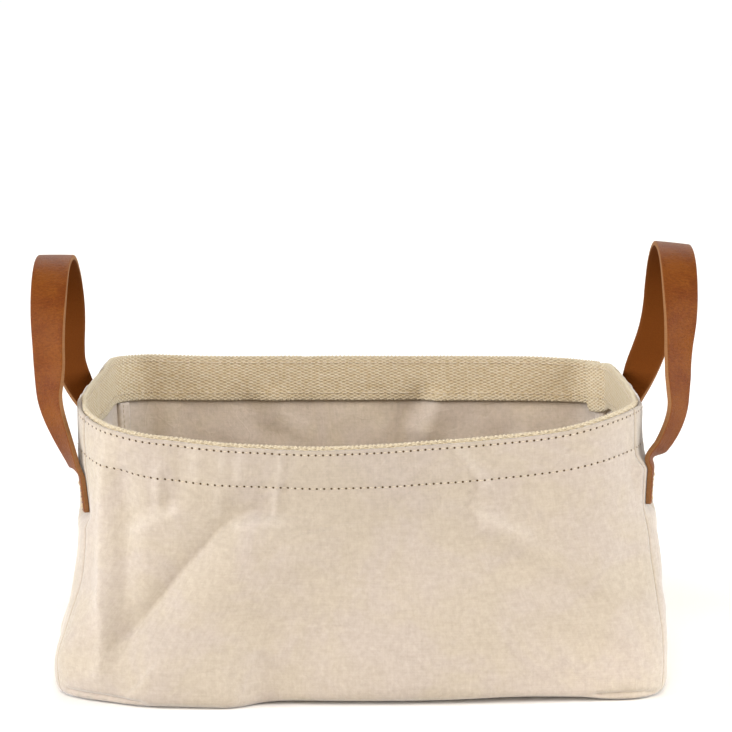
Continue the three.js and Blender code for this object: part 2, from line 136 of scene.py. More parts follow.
@dataclass
class Surface:
    """Points with their faces, a flat place for each point on the cloth, and marks for the finish."""

    points: Array
    quads: Array
    triangles: Array
    flat: Array
    marks: dict[str, Array] = field(default_factory=dict)

    def turned(self) -> "Surface":
        """This surface, with its faces turned over."""
        self.quads, self.triangles = self.quads[:, ::-1], self.triangles[:, ::-1]
        return self

    def turned_outward(self) -> "Surface":
        """This closed surface, with its faces turned over if its volume is below zero.

        Returns:
            This surface.
        """
        thirds = np.concatenate([self.quads[:, [0, 1, 2]], self.quads[:, [0, 2, 3]], self.triangles])
        a, b, c = (self.points[thirds[:, i]] - self.points.mean(axis=0) for i in range(3))
        return self.turned() if np.einsum("ij,ij->i", a, np.cross(b, c)).sum() < 0 else self


def together(parts: Sequence[Surface]) -> Surface:
    """Puts surfaces into one, with their faces numbered on.

    Args:
        parts: The surfaces, each with the same marks.

    Returns:
        One surface that holds all of them.
    """
    starts = np.cumsum([0] + [len(p.points) for p in parts[:-1]])
    return Surface(
        np.concatenate([p.points for p in parts]),
        np.concatenate([p.quads + s for p, s in zip(parts, starts)]),
        np.concatenate([p.triangles + s for p, s in zip(parts, starts)]),
        np.concatenate([p.flat for p in parts]),
        {key: np.concatenate([p.marks[key] for p in parts]) for key in parts[0].marks},
    )


def shell(outer: Array, inner: Array, flat: Array, marks: dict[str, Array]) -> Surface:
    """Closes two grids of the same size into one sheet with a thickness.

    Args:
        outer: Points of one face, rows by columns by 3.
        inner: Points of the other face, the same way.
        flat: Place of each point on the flat cloth, rows by columns by 2.
        marks: Marks of each grid point, rows by columns each.

    Returns:
        The closed sheet: both faces and the strip of quads round their edge.
    """
    rows, columns = outer.shape[:2]
    count = rows * columns
    number = np.arange(count).reshape(rows, columns)
    start = number[:-1, :-1].ravel()
    faces = np.stack([start, start + 1, start + columns + 1, start + columns], axis=1)
    border = np.concatenate([number[0, :-1], number[:-1, -1], number[-1, :0:-1], number[:0:-1, 0]])
    following = np.roll(border, -1)
    rim = np.stack([border, border + count, following + count, following], axis=1)
    return Surface(
        np.concatenate([outer.reshape(-1, 3), inner.reshape(-1, 3)]),
        np.concatenate([faces, faces[:, ::-1] + count, rim]),
        np.zeros((0, 3), int),
        np.tile(flat.reshape(-1, 2), (2, 1)),
        {key: np.tile(value.ravel(), 2) for key, value in marks.items()},
    ).turned_outward()


def tube_faces(rings: int, sides: int) -> tuple[Array, Array]:
    """The faces of a row of rings that each close on themselves, with a fan over each end.

    Args:
        rings: How many rings.
        sides: How many points each ring has.

    Returns:
        Quads, and triangles about two more points: the middles of the first and the last ring.
    """
    ring, side = np.arange(rings - 1)[:, None] * sides, np.arange(sides)
    after = (side + 1) % sides
    corners = [ring + side, ring + after, ring + sides + after, ring + sides + side]
    last, middle = (rings - 1) * sides, np.full(sides, rings * sides)
    fans = [[after, side, middle], [last + side, last + after, middle + 1]]
    triangles = np.concatenate([np.stack(fan, axis=1) for fan in fans])
    return np.stack([corner.ravel() for corner in corners], axis=1), triangles


def tube(rings: Array, flat: Array, marks: dict[str, Array]) -> Surface:
    """Skins a row of rings, and closes each end with a fan about its middle.

    Args:
        rings: Points, rings by sides by 3.
        flat: Place of each point on the flat piece, rings by sides by 2.
        marks: Marks of each point, rings by sides each.

    Returns:
        The closed tube.
    """

    def listed(values: Array) -> Array:
        """The values ring by ring, then their means over the first ring and the last."""
        means = [values[0].mean(axis=0), values[-1].mean(axis=0)]
        return np.concatenate([values.reshape(-1, *values.shape[2:]), means])

    held = {key: listed(value) for key, value in marks.items()}
    return Surface(listed(rings), *tube_faces(*rings.shape[:2]), listed(flat), held).turned_outward()


def link(name: str, data: bpy.types.ID) -> bpy.types.Object:
    """Makes an object and links it to the scene.

    Args:
        name: Its name.
        data: Its mesh, lamp or camera.

    Returns:
        The object.
    """
    thing = bpy.data.objects.new(name, data)
    bpy.context.scene.collection.objects.link(thing)
    return thing


def make_piece(name: str, surface: Surface, material: Material) -> bpy.types.Object:
    """Writes a surface into a new object at the origin.

    Args:
        name: The piece's name.
        surface: Its surface, in millimetres.
        material: Its material.

    Returns:
        The object, linked to the scene.
    """
    mesh = bpy.data.meshes.new(name)
    corners = np.concatenate([surface.quads.ravel(), surface.triangles.ravel()]).astype(np.int32)
    sizes = np.repeat([4, 3], [len(surface.quads), len(surface.triangles)]).astype(np.int32)
    mesh.vertices.add(len(surface.points))
    mesh.vertices.foreach_set("co", (surface.points * METRES).astype(np.float32).ravel())
    mesh.loops.add(len(corners))
    mesh.loops.foreach_set("vertex_index", corners)
    mesh.polygons.add(len(sizes))
    mesh.polygons.foreach_set("loop_start", (np.cumsum(sizes) - sizes).astype(np.int32))
    mesh.polygons.foreach_set("use_smooth", np.ones(len(sizes), bool))
    layer = mesh.uv_layers.new(name="cloth")
    layer.uv.foreach_set("vector", surface.flat[corners].astype(np.float32).ravel())
    for key, value in surface.marks.items():
        mark = mesh.attributes.new(key, "FLOAT", "POINT")
        mark.data.foreach_set("value", value.astype(np.float32))
    mesh.update(calc_edges=True)
    mesh.materials.append(material)
    LOG.info("%s: %d points", name, len(surface.points))
    return link(name, mesh)


def fixed_piece(node: str, kind: str, surface: Surface, material: Material) -> bpy.types.Object:
    """Makes a piece that rides on the bin and stands for one node.

    Args:
        node: The node's name.
        kind: What the piece is called after it: cloth, band, patch or stitches.
        surface: Its surface.
        material: Its material.

    Returns:
        The piece.
    """
    piece = make_piece(f"{node}_{kind}", surface, material)
    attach(piece, "bin")
    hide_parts(node)
    return piece


# ---- The skin of the bin ----

FRONT, FRONT_RIGHT, RIGHT, BACK_RIGHT, BACK, BACK_LEFT, LEFT, FRONT_LEFT = range(8)
FULL_TURN = 8

CLEARANCE = 0.3
CANVAS = 1.2  # thickness of the cloth
HEIGHT = 167.5  # floor to the folded edge, away from the sag
HEM_DEPTH = 26.0
FOLD_GAP = 0.2
FOOT_HEIGHT = 20.0
FOOT_INSET = 9.0
ALLOWANCE = 8.0
SEAM_SHARE = 29 / 90  # share of each corner from the end wall to the seam
WEBBING_WIDTH = 30.0
WEBBING_RISE = 2.0
WEBBING_THICKNESS = 1.8
PITCH = 4.2  # one stitch of the rim rows
TOP_ROW = HEIGHT - 2.5
LOWER_ROW = HEIGHT - 23.0
SHARP = 1.9  # a fold less round than this is painted pale along its crest: partly wear, partly a painted highlight
THREAD_LIFT = 0.1  # a stitch's lowest threads above what it lies on
STITCH_GAP = 0.5  # from one seam stitch to the next, through its needle hole


class Side(Enum):
    """The four sides, each with its outward direction in the plan."""

    FRONT = (0.0, -1.0)
    RIGHT = (1.0, 0.0)
    BACK = (0.0, 1.0)
    LEFT = (-1.0, 0.0)


@dataclass(frozen=True)
class Fold:
    """A fold or crease in a wall, along a line of places: across the wall, and height."""

    line: tuple[tuple[float, float], ...]
    rise: float  # above zero stands out, below zero is a valley
    width: float
    sharpness: float = 2.0  # 2 is round, 1 is a crease
    other_side: float = 1.0  # its width on the left of the line, for each width on the right

    def shape(self, across: Array, height: Array) -> Array:
        """How strongly the fold shows at each place, from 0 to 1.

        Args:
            across: Places across the wall.
            height: Their heights.

        Returns:
            exp(-(distance to the line / width)^sharpness), with a width for each side of the line.
        """
        nearest = np.full(np.broadcast(across, height).shape, np.inf)
        widths = np.full(nearest.shape, self.width)
        for (a0, z0), (a1, z1) in zip(self.line, self.line[1:]):
            da, dz, a, z = a1 - a0, z1 - z0, across - a0, height - z0
            share = np.clip((a * da + z * dz) / (da**2 + dz**2), 0, 1)
            gap = np.hypot(a - share * da, z - share * dz)
            left = da * z - dz * a > 0
            widths = np.where(gap < nearest, self.width * np.where(left, self.other_side, 1.0), widths)
            nearest = np.minimum(nearest, gap)
        return np.exp(-np.power(nearest / widths, self.sharpness))


@dataclass(frozen=True)
class Waves:
    """Soft unevenness of a wall: a sum of plane waves in seeded directions and phases."""

    seed: int
    shortest: float
    longest: float
    rise: float
    count: int = 26

    def height(self, across: Array, height: Array) -> Array:
        """Adds up the waves: rise / sqrt(count) cos(k . place + phase), k from 2 pi over the wavelength.

        Args:
            across: Places across the wall.
            height: Their heights.

        Returns:
            The rise at each place.
        """
        dice = np.random.default_rng(self.seed)
        lengths = np.exp(dice.uniform(math.log(self.shortest), math.log(self.longest), self.count))
        turns, phases = dice.uniform(0, 2 * math.pi, (2, self.count))
        total = np.zeros(np.broadcast(across, height).shape)
        for length, turn, phase in zip(lengths, turns, phases):
            walk = across * math.cos(turn) + height * math.sin(turn)
            total += math.sqrt(length / self.longest) * np.cos(2 * math.pi / length * walk + phase)
        return total * self.rise / math.sqrt(self.count)


WALL_FOLDS: dict[Side, tuple[Fold, ...]] = {
    Side.FRONT: (
        # The long diagonal fold that falls from the middle of the band to the lower left: a creased
        # valley with a round ridge on its lower side.
        Fold(((-46, 111), (-60, 113), (-73, 110), (-81, 103), (-93, 89), (-102, 79), (-114, 64), (-124, 52),
              (-134, 42)), -5.6, 11.0, 1.1, 0.55),
        Fold(((-48, 98), (-58, 96), (-67, 88), (-80, 73), (-92, 57), (-104, 44), (-112, 34)),
             6.0, 15.0, 2.0, 1.9),
        Fold(((-46, 107), (-58, 108), (-70, 105)), 1.7, 3.0, 1.4),
        Fold(((-38, 100), (-50, 92)), -1.2, 7.0),
        Fold(((-108, 112), (-120, 107), (-133, 100)), 1.7, 4.0, 1.5),
        Fold(((-106, 119), (-120, 114), (-134, 107)), -1.7, 6.0),
        # Short creases that hang from the rows of stitches.
        Fold(((-46, 150), (-47, 130)), 1.27, 2.0, 1.4),
        Fold(((-49, 126), (-50, 110)), 1.02, 2.2, 1.4),
        Fold(((-41, 148), (-43, 126)), -1.36, 3.2),
        Fold(((-69, 151), (-70, 132)), 1.02, 2.4, 1.5),
        Fold(((-74, 150), (-75, 134)), -0.85, 2.6),
        Fold(((-80, 151), (-80, 136)), 0.85, 2.4, 1.5),
        Fold(((-96, 150), (-96, 130)), 1.02, 3.0, 1.6),
        Fold(((-104, 150), (-105, 128)), -1.02, 3.6),
        Fold(((-118, 136), (-118, 114)), 1.19, 2.8, 1.5),
        Fold(((-111, 134), (-112, 112)), -1.19, 4.5),
        Fold(((-82, 128), (-83, 112)), 0.85, 2.4, 1.4),
        Fold(((49, 152), (59, 139), (68, 128), (61, 116), (68, 106)), -1.36, 2.8, 1.4),
        Fold(((54, 152), (64, 140), (73, 129)), 1.19, 3.0, 1.5),
        Fold(((70, 112), (84, 104), (96, 100)), 1.02, 4.0, 1.5),
        Fold(((74, 104), (106, 88), (138, 69)), 1.7, 8.0),
        Fold(((70, 95), (100, 78), (130, 58)), -1.53, 8.0),
        Fold(((118, 62), (136, 44), (150, 40)), 1.02, 6.0),
        # The corner on the left is pressed to an edge, with a hollow beside it.
        Fold(((-149, 156), (-150, 116), (-150, 80), (-150, 45), (-152, 18)), 3.4, 6.0, 1.15),
        Fold(((-151, 136), (-151, 110), (-151, 84), (-150, 58)), 4.4, 5.5, 1.1),
        Fold(((-139, 134), (-136, 104), (-138, 69), (-141, 36)), -3.2, 9.5),
        Fold(((-143, 128), (-141, 100), (-141, 70)), -3.4, 8.0),
        Fold(((157, 90), (161, 60), (166, 34)), -1.8, 8.0),
        # The seam of the bottom pulls in a groove just above the floor near both corners.
        Fold(((-172, 5), (-150, 4.5), (-126, 3)), -2.6, 1.5, 1.6),
        Fold(((138, 3.5), (150, 4.5), (166, 4.5), (172, 3)), -2.6, 1.5, 1.6),
    ),
    Side.BACK: (
        Fold(((38, 142), (28, 120), (30, 104)), 3.2, 9.0),
        Fold(((52, 140), (45, 118)), -3.0, 9.0),
        Fold(((12, 146), (14, 128)), 1.0, 5.0),
        Fold(((-60, 140), (-46, 118), (-52, 96)), -2.0, 9.0),
        Fold(((-76, 138), (-66, 116), (-70, 96)), 1.8, 9.0),
        Fold(((-90, 96), (-60, 84), (-20, 76)), 1.3, 9.0),
        Fold(((100, 118), (84, 92), (88, 60)), 1.4, 8.0),
        Fold(((110, 112), (94, 88), (98, 56)), -1.2, 8.0),
        Fold(((-130, 130), (-126, 90), (-132, 40)), -1.6, 9.0),
    ),
    Side.LEFT: (
        Fold(((-90, 48), (80, 48)), -4.0, 27.0),
        Fold(((-100, 97), (60, 97)), 2.6, 20.0),
        Fold(((-112, 150), (-112, 90), (-112, 40)), -1.5, 9.0),
        Fold(((-20, 112), (-4, 84), (-8, 50)), -1.2, 11.0),
        Fold(((24, 118), (14, 88), (24, 48)), 1.0, 10.0),
        Fold(((-66, 96), (-44, 66), (-60, 30)), 1.0, 9.0),
        Fold(((70, 100), (52, 70), (66, 36)), -1.0, 9.0),
        Fold(((-34, 165), (-30, 146)), 1.3, 8.0),
        Fold(((10, 165), (12, 146)), -1.6, 10.0),
        Fold(((-72, 168), (-70, 150)), -1.4, 9.0),
    ),
    Side.RIGHT: (
        Fold(((-100, 98), (60, 98)), 3.4, 22.0),
        Fold(((-30, 116), (-12, 84), (-20, 44)), 1.2, 10.0),
        Fold(((16, 118), (4, 82), (14, 46)), -1.2, 10.0),
        Fold(((60, 104), (44, 72), (58, 34)), 1.0, 9.0),
        Fold(((-78, 96), (-62, 62), (-70, 30)), -1.0, 8.0),
    ),
}


# Waves of the rim along the front: place, height and width of each in millimetres.
RIM_WAVES = ((-104, 1.3, 26.0), (-30, -1.25, 27.0), (39, 1.1, 24.0), (108, -1.2, 24.0))


@dataclass(frozen=True)
class EndWall:
    """How far an end wall stands in from the foot at its narrowest height and at the rim."""

    waist_inset: float
    rim_inset: float
    waist_height: float


@dataclass(frozen=True)
class LongWall:
    """How far a long wall stands in at the rim, and how far its middle bows out."""

    rim_inset: float
    bow_foot: float
    bow_rim: float


@dataclass(frozen=True)
class Pressed:
    """A spot where a sewn strap end holds the cloth flat, a little in from the skin and turned."""

    place: tuple[float, float, float]
    depth: float
    turn: float  # inward, for each millimetre towards the back
    lean: float = 0.0  # inward, for each millimetre downwards
    fade: float = 10.0
    half: tuple[float, float, float] = (30.0, 11.0, 10.0)  # half the size of the block that is held

    def hold(self, base: Array, rise: Array) -> Array:
        """Mixes the cloth's relief with the pressed spot's own, over a band round the sewn end.

        Args:
            base: Points of the plain skin.
            rise: How far the cloth stands out there.

        Returns:
            The new relief: rise, or -depth - turn (y - spot) + lean (z - spot) behind the sewn end.
        """
        away = np.clip(np.abs(base - np.array(self.place)) - np.array(self.half), 0, None)
        spot = -self.depth - self.turn * np.clip(base[..., 1] - self.place[1], -14, 14)
        spot = spot + self.lean * np.clip(base[..., 2] - self.place[2], -12, 12)
        return mix(spot, rise, smooth(np.linalg.norm(away, axis=-1) / self.fade))


@dataclass
class Skin:
    """The outer skin of the walls: u runs counter-clockwise round the plan, z is the unsunk height."""

    width: float = 361.0
    depth: float = 254.0
    left_end: EndWall = EndWall(15.0, 12.5, 98.0)
    right_end: EndWall = EndWall(14.7, 14.9, 160.0)
    front_side: LongWall = LongWall(10.0, 13.0, 12.0)
    back_side: LongWall = LongWall(13.0, 3.0, 3.0)
    end_bow: float = 4.0
    front_radii: tuple[float, float] = (24.0, 50.0)
    back_radii: tuple[float, float] = (24.0, 28.0)
    opened_height: float = 113.0
    sag: float = 18.0
    sag_centre: float = -40.0
    sag_left: tuple[float, float] = (30.0, 205.0)
    sag_right: tuple[float, float] = (50.0, 250.0)
    swell: float = 11.5  # of the foot, on the left of the front
    pressed: tuple[Pressed, ...] = ()

    def half_width(self, end: EndWall, z: Array) -> Array:
        """Half the width at each height: two smooth steps, one below the waist and one above it.

        Args:
            end: The end wall.
            z: Unsunk heights.

        Returns:
            Distances from the middle to the end wall's corners.
        """
        low = smooth((z - FOOT_HEIGHT) / (end.waist_height - FOOT_HEIGHT))
        high = smooth((z - end.waist_height) / (HEIGHT - end.waist_height))
        return self.width / 2 - end.waist_inset * low - (end.rim_inset - end.waist_inset) * high

    def rectangle(self, u: Array, reach: Sequence[Array], radii: Sequence[Array]) -> tuple[Array, Array]:
        """A rounded rectangle: straight stretches and quarter circles in turn.

        A place on a corner is its centre plus the radius times the cosine and sine of an angle. A place
        on a straight stretch is a mixture of the end of one corner and the start of the next.

        Args:
            u: Places round the plan, one unit for each stretch or corner.
            reach: Distances from the middle to the front, the right, the back and the left.
            radii: Radii of the two front corners and of the two back corners.

        Returns:
            X and Y of each place.
        """
        (front, right, back, left), (near, far) = reach, radii
        turn = np.mod(u, FULL_TURN)
        stretch = np.minimum(np.floor(turn).astype(int), FULL_TURN - 1)
        t, curved, corner = turn - stretch, stretch % 2, stretch // 2
        angle = (corner - 1 + curved * t) * math.pi / 2
        radius = (near, far, far, near)
        centres = ((right - near, right - far, far - left, near - left),
                   (near - front, back - far, back - far, near - front))
        place = []
        for centre, out in zip(centres, (np.cos(angle), np.sin(angle))):
            here = np.choose(corner, centre) + np.choose(corner, radius) * out
            last = np.choose((corner - 1) % 4, centre) + np.choose((corner - 1) % 4, radius) * out
            place.append(np.where(curved, here, mix(last, here, t)))
        return place[0], place[1]

    def sag_at(self, x: Array, y: Array, front: Array) -> Array:
        """How far the rim has sunk: most in the middle of the front, and less with distance along it.

        Args:
            x: Places on the plan.
            y: The same.
            front: Distance from the middle to the front.

        Returns:
            The sag, on a smooth step of the distance.
        """
        level, end = (np.where(x < self.sag_centre, *ways) for ways in zip(self.sag_left, self.sag_right))
        distance = np.abs(x - self.sag_centre) + (y + front)
        return self.sag * (1 - smooth((distance - level) / (end - level)))

    def point(self, u: Array, z: Array) -> Array:
        """Points of the plain skin: a rounded rectangle for each height, bowed by a cosine and sunk.

        Args:
            u: Places round the plan.
            z: Heights before the sag.

        Returns:
            The points, with a last axis of 3.
        """
        u, z = floats(u, z)
        share = np.clip((z - FOOT_HEIGHT) / (HEIGHT - FOOT_HEIGHT), 0, 1)
        opened = smooth((z - FOOT_HEIGHT) / (self.opened_height - FOOT_HEIGHT))
        left, right = self.half_width(self.left_end, z), self.half_width(self.right_end, z)
        front = self.depth / 2 - self.front_side.rim_inset * share
        back = self.depth / 2 - self.back_side.rim_inset * share
        radii = mix(*self.front_radii, opened), mix(*self.back_radii, share)
        x, y = self.rectangle(u, (front, right, back, left), radii)
        ahead = y < 0
        foot = np.where(ahead, self.front_side.bow_foot, self.back_side.bow_foot)
        rim = np.where(ahead, self.front_side.bow_rim, self.back_side.bow_rim)
        depth, width = np.where(ahead, front, back), np.where(x < 0, left, right)
        across_front, across_end = np.cos(math.pi / 2 * x / width), np.cos(math.pi / 2 * y / depth)
        sunk = self.sag_at(x, y, front) * smooth(z / HEIGHT)
        grown_x = x * (1 + self.end_bow * across_end / width)
        grown_y = y * (1 + mix(foot, rim, share) * across_front / depth)
        return np.stack([grown_x, grown_y, z - sunk], axis=-1)

    def directions(self, u: Array, z: Array) -> tuple[Array, Array]:
        """Unit vectors out of the wall, and millimetres along it for one unit of u.

        Args:
            u: Places round the plan.
            z: Unsunk heights.

        Returns:
            The vectors, level and square to the plan curve, and the millimetres.
        """
        step = 1e-3
        run = self.point(np.asarray(u) + step, z) - self.point(np.asarray(u) - step, z)
        run[..., 2] = 0.0
        along = unit(run)
        out = np.stack([along[..., 1], -along[..., 0], along[..., 2]], axis=-1)
        return out, np.linalg.norm(run, axis=-1) / (2 * step)

    def march(self, u: Array, z: Array, distance: Array) -> Array:
        """The places on the plan curve that lie a distance along the wall from u, at height z.

        Args:
            u: Places to start from.
            z: Unsunk heights.
            distance: Millimetres to go, towards larger u if above zero.

        Returns:
            The places, reached in equal steps that each follow the curve's own pace.
        """
        steps = 24
        place = np.asarray(u, float) + 0 * np.asarray(distance, float)
        for _ in range(steps):
            place = place + distance / steps / self.directions(place, z)[1]
        return place

    @cached_property
    def tape(self) -> tuple[Array, Array]:
        """Places round the plan, and the distance along the rim to each of them.

        Returns:
            Both rows, from before the front to well past a full turn.
        """
        places = np.linspace(-2, FULL_TURN + 6, 14001)
        speeds = self.directions(places, np.full_like(places, HEIGHT))[1]
        steps = (speeds[1:] + speeds[:-1]) / 2 * np.diff(places)
        distances = np.concatenate([[0.0], np.cumsum(steps)])
        return places, distances - np.interp(0.0, places, distances)

    def distance(self, u: Array | float) -> Array:
        """Distance along the rim to a place u."""
        return np.interp(u, *self.tape)

    def place_at(self, distance: Array | float) -> Array:
        """The place u at a distance along the rim."""
        return np.interp(distance, *reversed(self.tape))

    @cached_property
    def girth(self) -> float:
        """Distance once round the rim."""
        return float(self.distance(FULL_TURN) - self.distance(0.0))

    @cached_property
    def pitch(self) -> float:
        """Length of a rim stitch: a whole number of them goes once round the rim."""
        return self.girth / round(self.girth / PITCH)

    def relief(self, u: Array, z: Array, base: Array, out: Array) -> tuple[Array, Array]:
        """Folds and unevenness of the cloth, and where its crests are painted pale: partly wear, partly a
        painted highlight.

        Args:
            u: Places round the plan.
            z: Unsunk heights.
            base: Points of the plain skin there.
            out: Outward directions there.

        Returns:
            How far the cloth stands out of the plain skin, and how strongly its crest is painted pale, from 0
            to 1.
        """
        rise, crease = np.zeros(u.shape), np.zeros(u.shape)
        for number, side in enumerate(Side):
            facing = np.clip(out[..., 0] * side.value[0] + out[..., 1] * side.value[1], 0, 1) ** 2
            long_wall = side in (Side.FRONT, Side.BACK)
            across, height = base[..., 0 if long_wall else 1], base[..., 2]
            calm = 1.0 if long_wall else 0.55
            local = calm * Waves(11 + number, 60, 170, 1.5).height(across, height) * smooth((z + 4) / 20)
            local += Waves(31 + number, 16, 50, 0.42).height(across, height) * smooth(z / 16)
            for fold in WALL_FOLDS[side]:
                shown = fold.shape(across, height)
                local += fold.rise * shown * smooth((z + 1) / 5)
                # Sharp ridges are marked to be painted pale along their crests: partly wear, partly a painted
                # highlight.
                crease += facing * shown * np.clip(fold.rise, 0, 1) * (fold.sharpness < SHARP)
            rise += facing * local
        # The rim is stiffened by its webbing, so the folds of the wall fade into it.
        rise = rise * mix(1.0, 0.55, smooth((z - LOWER_ROW + 6) / 12)) + self.foot_swell(z, base, out)
        for spot in self.pressed:
            rise = spot.hold(base, rise)
        return rise, crease * smooth(z / 16)

    def foot_swell(self, z: Array, base: Array, out: Array) -> Array:
        """How far the foot of the front wall swells out on the left, fading with a bell curve upwards.

        Args:
            z: Unsunk heights.
            base: Points of the plain skin there.
            out: Outward directions there.

        Returns:
            The swelling.
        """
        facing = np.clip(-out[..., 1], 0, 1) ** 2
        left = smooth((-54 - base[..., 0]) / 24) * smooth((base[..., 0] + 170) / 50)
        return self.swell * facing * left * bell(z - 2, 40.0)

    def rim_lift(self, z: Array, base: Array) -> Array:
        """How far the rim stands higher or lower than the sag says.

        Args:
            z: Unsunk heights.
            base: Points of the plain skin there.

        Returns:
            A smooth step behind, a bell at each back corner, ripples on the left end and bells along
            the front, all faded out below the band.
        """
        x, y = base[..., 0], base[..., 1]
        lift = 1.5 * smooth((y - 20) / 70) + 0.5 * np.sin(y / 11.0 + 1.2) * smooth((-x - 140) / 15)
        lift += 2.4 * (bell(np.hypot(x + 152, y - 92), 34.0) - bell(np.hypot(x - 152, y - 100), 26.0))
        for middle, rise, width in RIM_WAVES:
            lift += rise * bell(x - middle, width) * smooth((-y - 20) / 60)
        return lift * smooth((z - 118) / 40)

    def foot_lift(self, x: Array, y: Array) -> Array:
        """How far the foot stands off the floor along the front, fading over 45 mm towards the middle."""
        arch = 0.7 + 1.6 * smooth((x + 66) / 26) * smooth((150 - x) / 25) + 1.3 * bell(x - 92, 34.0)
        return arch * smooth((-y - 78) / 45)

    def pucker(self, u: Array, z: Array) -> Array:
        """The cloth drawn in along each row of stitches, with short ripples beside the lower one.

        Args:
            u: Places round the plan.
            z: Unsunk heights.

        Returns:
            How far the cloth stands out: a bell below zero on each row, that beats with the stitches,
            and cosines along the rim that fade with distance from the lower row.
        """
        along = self.distance(u)
        beat = 0.8 + 0.2 * np.cos(2 * math.pi * along / self.pitch)
        drawn = -0.34 * beat * bell(z - TOP_ROW, 1.5) - 0.42 * beat * bell(z - LOWER_ROW, 1.7)
        wander = 1.7 * np.sin(along / 23.0) + 1.1 * np.sin(along / 9.7)
        ripple = np.cos(2 * math.pi * along / 11.3 + wander) * np.exp(-np.abs(z - LOWER_ROW) / 6.5)
        between = bell(z - (TOP_ROW + LOWER_ROW) / 2, 8.0) * np.sin(along / 6.1 + 2 * wander)
        return drawn + 0.16 * ripple + 0.12 * between

    def place(self, u: Array, z: Array, n: Array | float, puckered: Array | float = 0.0) -> Array:
        """The point n out of the folded cloth, horizontally, with a share of the stitches' pull.

        Args:
            u: Places round the plan.
            z: Unsunk heights.
            n: Distance out of the skin, below zero inside the bin.
            puckered: Share of the pull of the rim stitches that reaches this layer.

        Returns:
            The points.
        """
        u, z, n, puckered = floats(u, z, n, puckered)
        base, out = self.point(u, z), self.directions(u, z)[0]
        rise = self.relief(u, z, base, out)[0] + puckered * self.pucker(u, z)
        points = base + out * (n + rise)[..., None]
        low = 1 - smooth(z / 16)
        points[..., 2] += self.foot_lift(base[..., 0], base[..., 1]) * low + self.rim_lift(z, base)
        return points

    def level_place(self, seat: float, along: Array, z: Array, n: Array | float) -> Array:
        """Points on the wall that are level with a seat's own height.

        Args:
            seat: Place of the seat on the plan.
            along: Distances along the wall from it.
            z: Unsunk heights at the seat.
            n: Distances out of the wall.

        Returns:
            The points.
        """
        along, z, n = floats(along, z, n)
        u = self.march(seat, z, along)
        level = self.point(np.full_like(z, seat), z)[..., 2]
        points = self.place(u, z + level - self.point(u, z)[..., 2], n)
        points[..., 2] = level
        return points


# ---- Finishes ----


def add_node(tree: bpy.types.NodeTree, kind: str, settings: dict[str, object],
             inputs: dict[int | str, object]) -> bpy.types.Node:
    """Adds a node with its settings and links.

    Args:
        tree: The node tree.
        kind: Name of the node's type, without its first part.
        settings: Properties of the node.
        inputs: For each input, a socket to link or a value to set.

    Returns:
        The node.
    """
    node = tree.nodes.new(f"ShaderNode{kind}")
    for key, value in settings.items():
        setattr(node, key, value)
    for key, value in inputs.items():
        if isinstance(value, Socket):
            tree.links.new(value, node.inputs[key])
        else:
            node.inputs[key].default_value = value
    return node


@dataclass
class Recipe:
    """A node tree that is being filled. Each method adds a node and gives one of its outputs."""

    tree: bpy.types.NodeTree

    def add(self, kind: str, inputs: dict[int | str, object], output: int | str = 0,
            **settings: object) -> Socket:
        """An output of a new node."""
        return add_node(self.tree, kind, settings, inputs).outputs[output]

    def cloth(self) -> Socket:
        """Places on the flat piece, in millimetres."""
        return self.add("UVMap", {}, uv_map="cloth")

    def where(self) -> Socket:
        """Places in the bin, in metres."""
        return self.add("TexCoord", {}, "Object")

    def mark(self, name: str) -> Socket:
        """One of the mesh's marks."""
        return self.add("Attribute", {}, "Fac", attribute_name=name)

    def parts(self, vector: Socket) -> Sequence[Socket]:
        """The three parts of a vector."""
        return add_node(self.tree, "SeparateXYZ", {}, {0: vector}).outputs

    def noise(self, vector: Socket, scale: float, detail: float, roughness: float = 0.5,
              distortion: float = 0.0, output: int = 0) -> Socket:
        """Noise of so many cells in each unit of the vector; output 1 is its colour."""
        return self.add("TexNoise", {"Vector": vector, "Scale": scale, "Detail": detail,
                                     "Roughness": roughness, "Distortion": distortion}, output)

    def maths(self, operation: str, *values: Socket | float) -> Socket:
        """The result of an operation on two or three values."""
        return self.add("Math", dict(enumerate(values)), operation=operation)

    def ramp(self, value: Socket, low: float, high: float, first: float = 0.0, last: float = 1.0,
             kind: str = "LINEAR") -> Socket:
        """The value carried from low..high to first..last, and held between them."""
        return self.add("MapRange", {0: value, 1: low, 2: high, 3: first, 4: last}, interpolation_type=kind)

    def step(self, value: Socket, low: float, high: float, first: float = 0.0, last: float = 1.0) -> Socket:
        """The same, on a smooth step."""
        return self.ramp(value, low, high, first, last, "SMOOTHSTEP")

    def level(self, share: Socket, first: Socket | float, second: Socket | float) -> Socket:
        """The mixture of two numbers."""
        return self.add("Mix", {0: share, 2: first, 3: second}, data_type="FLOAT")

    def colour(self, share: Socket | float, first: Socket | str, second: Socket | str,
               how: str = "MIX") -> Socket:
        """The mixture of two colours, each an output or six hex digits."""
        a, b = (linear(c) if isinstance(c, str) else c for c in (first, second))
        return self.add("Mix", {0: share, 6: a, 7: b}, 2, data_type="RGBA", blend_type=how)

    def shifted(self, share: float, vector: Socket, shift: Socket) -> Socket:
        """A vector shifted by a share of a noise's colour, from -1 to 1."""
        return self.add("MixRGB", {0: share, 1: vector, 2: shift}, blend_type="LINEAR_LIGHT")

    def relief(self, parts: Sequence[tuple[Socket, float]], strength: float) -> Socket:
        """Bends the normal by a relief in millimetres.

        Args:
            parts: Outputs, each with its share of the relief.
            strength: How much of the bend is kept.

        Returns:
            The normal.
        """
        height: Socket | float = 0.0
        for part, share in parts:
            height = self.maths("MULTIPLY_ADD", part, share, height)
        return self.add("Bump", {"Height": height, "Distance": METRES, "Strength": strength})

    def surface(self, kind: str, inputs: dict[int | str, object]) -> None:
        """Adds a shader and links it to the material's output."""
        add_node(self.tree, "OutputMaterial", {}, {"Surface": self.add(kind, inputs)})


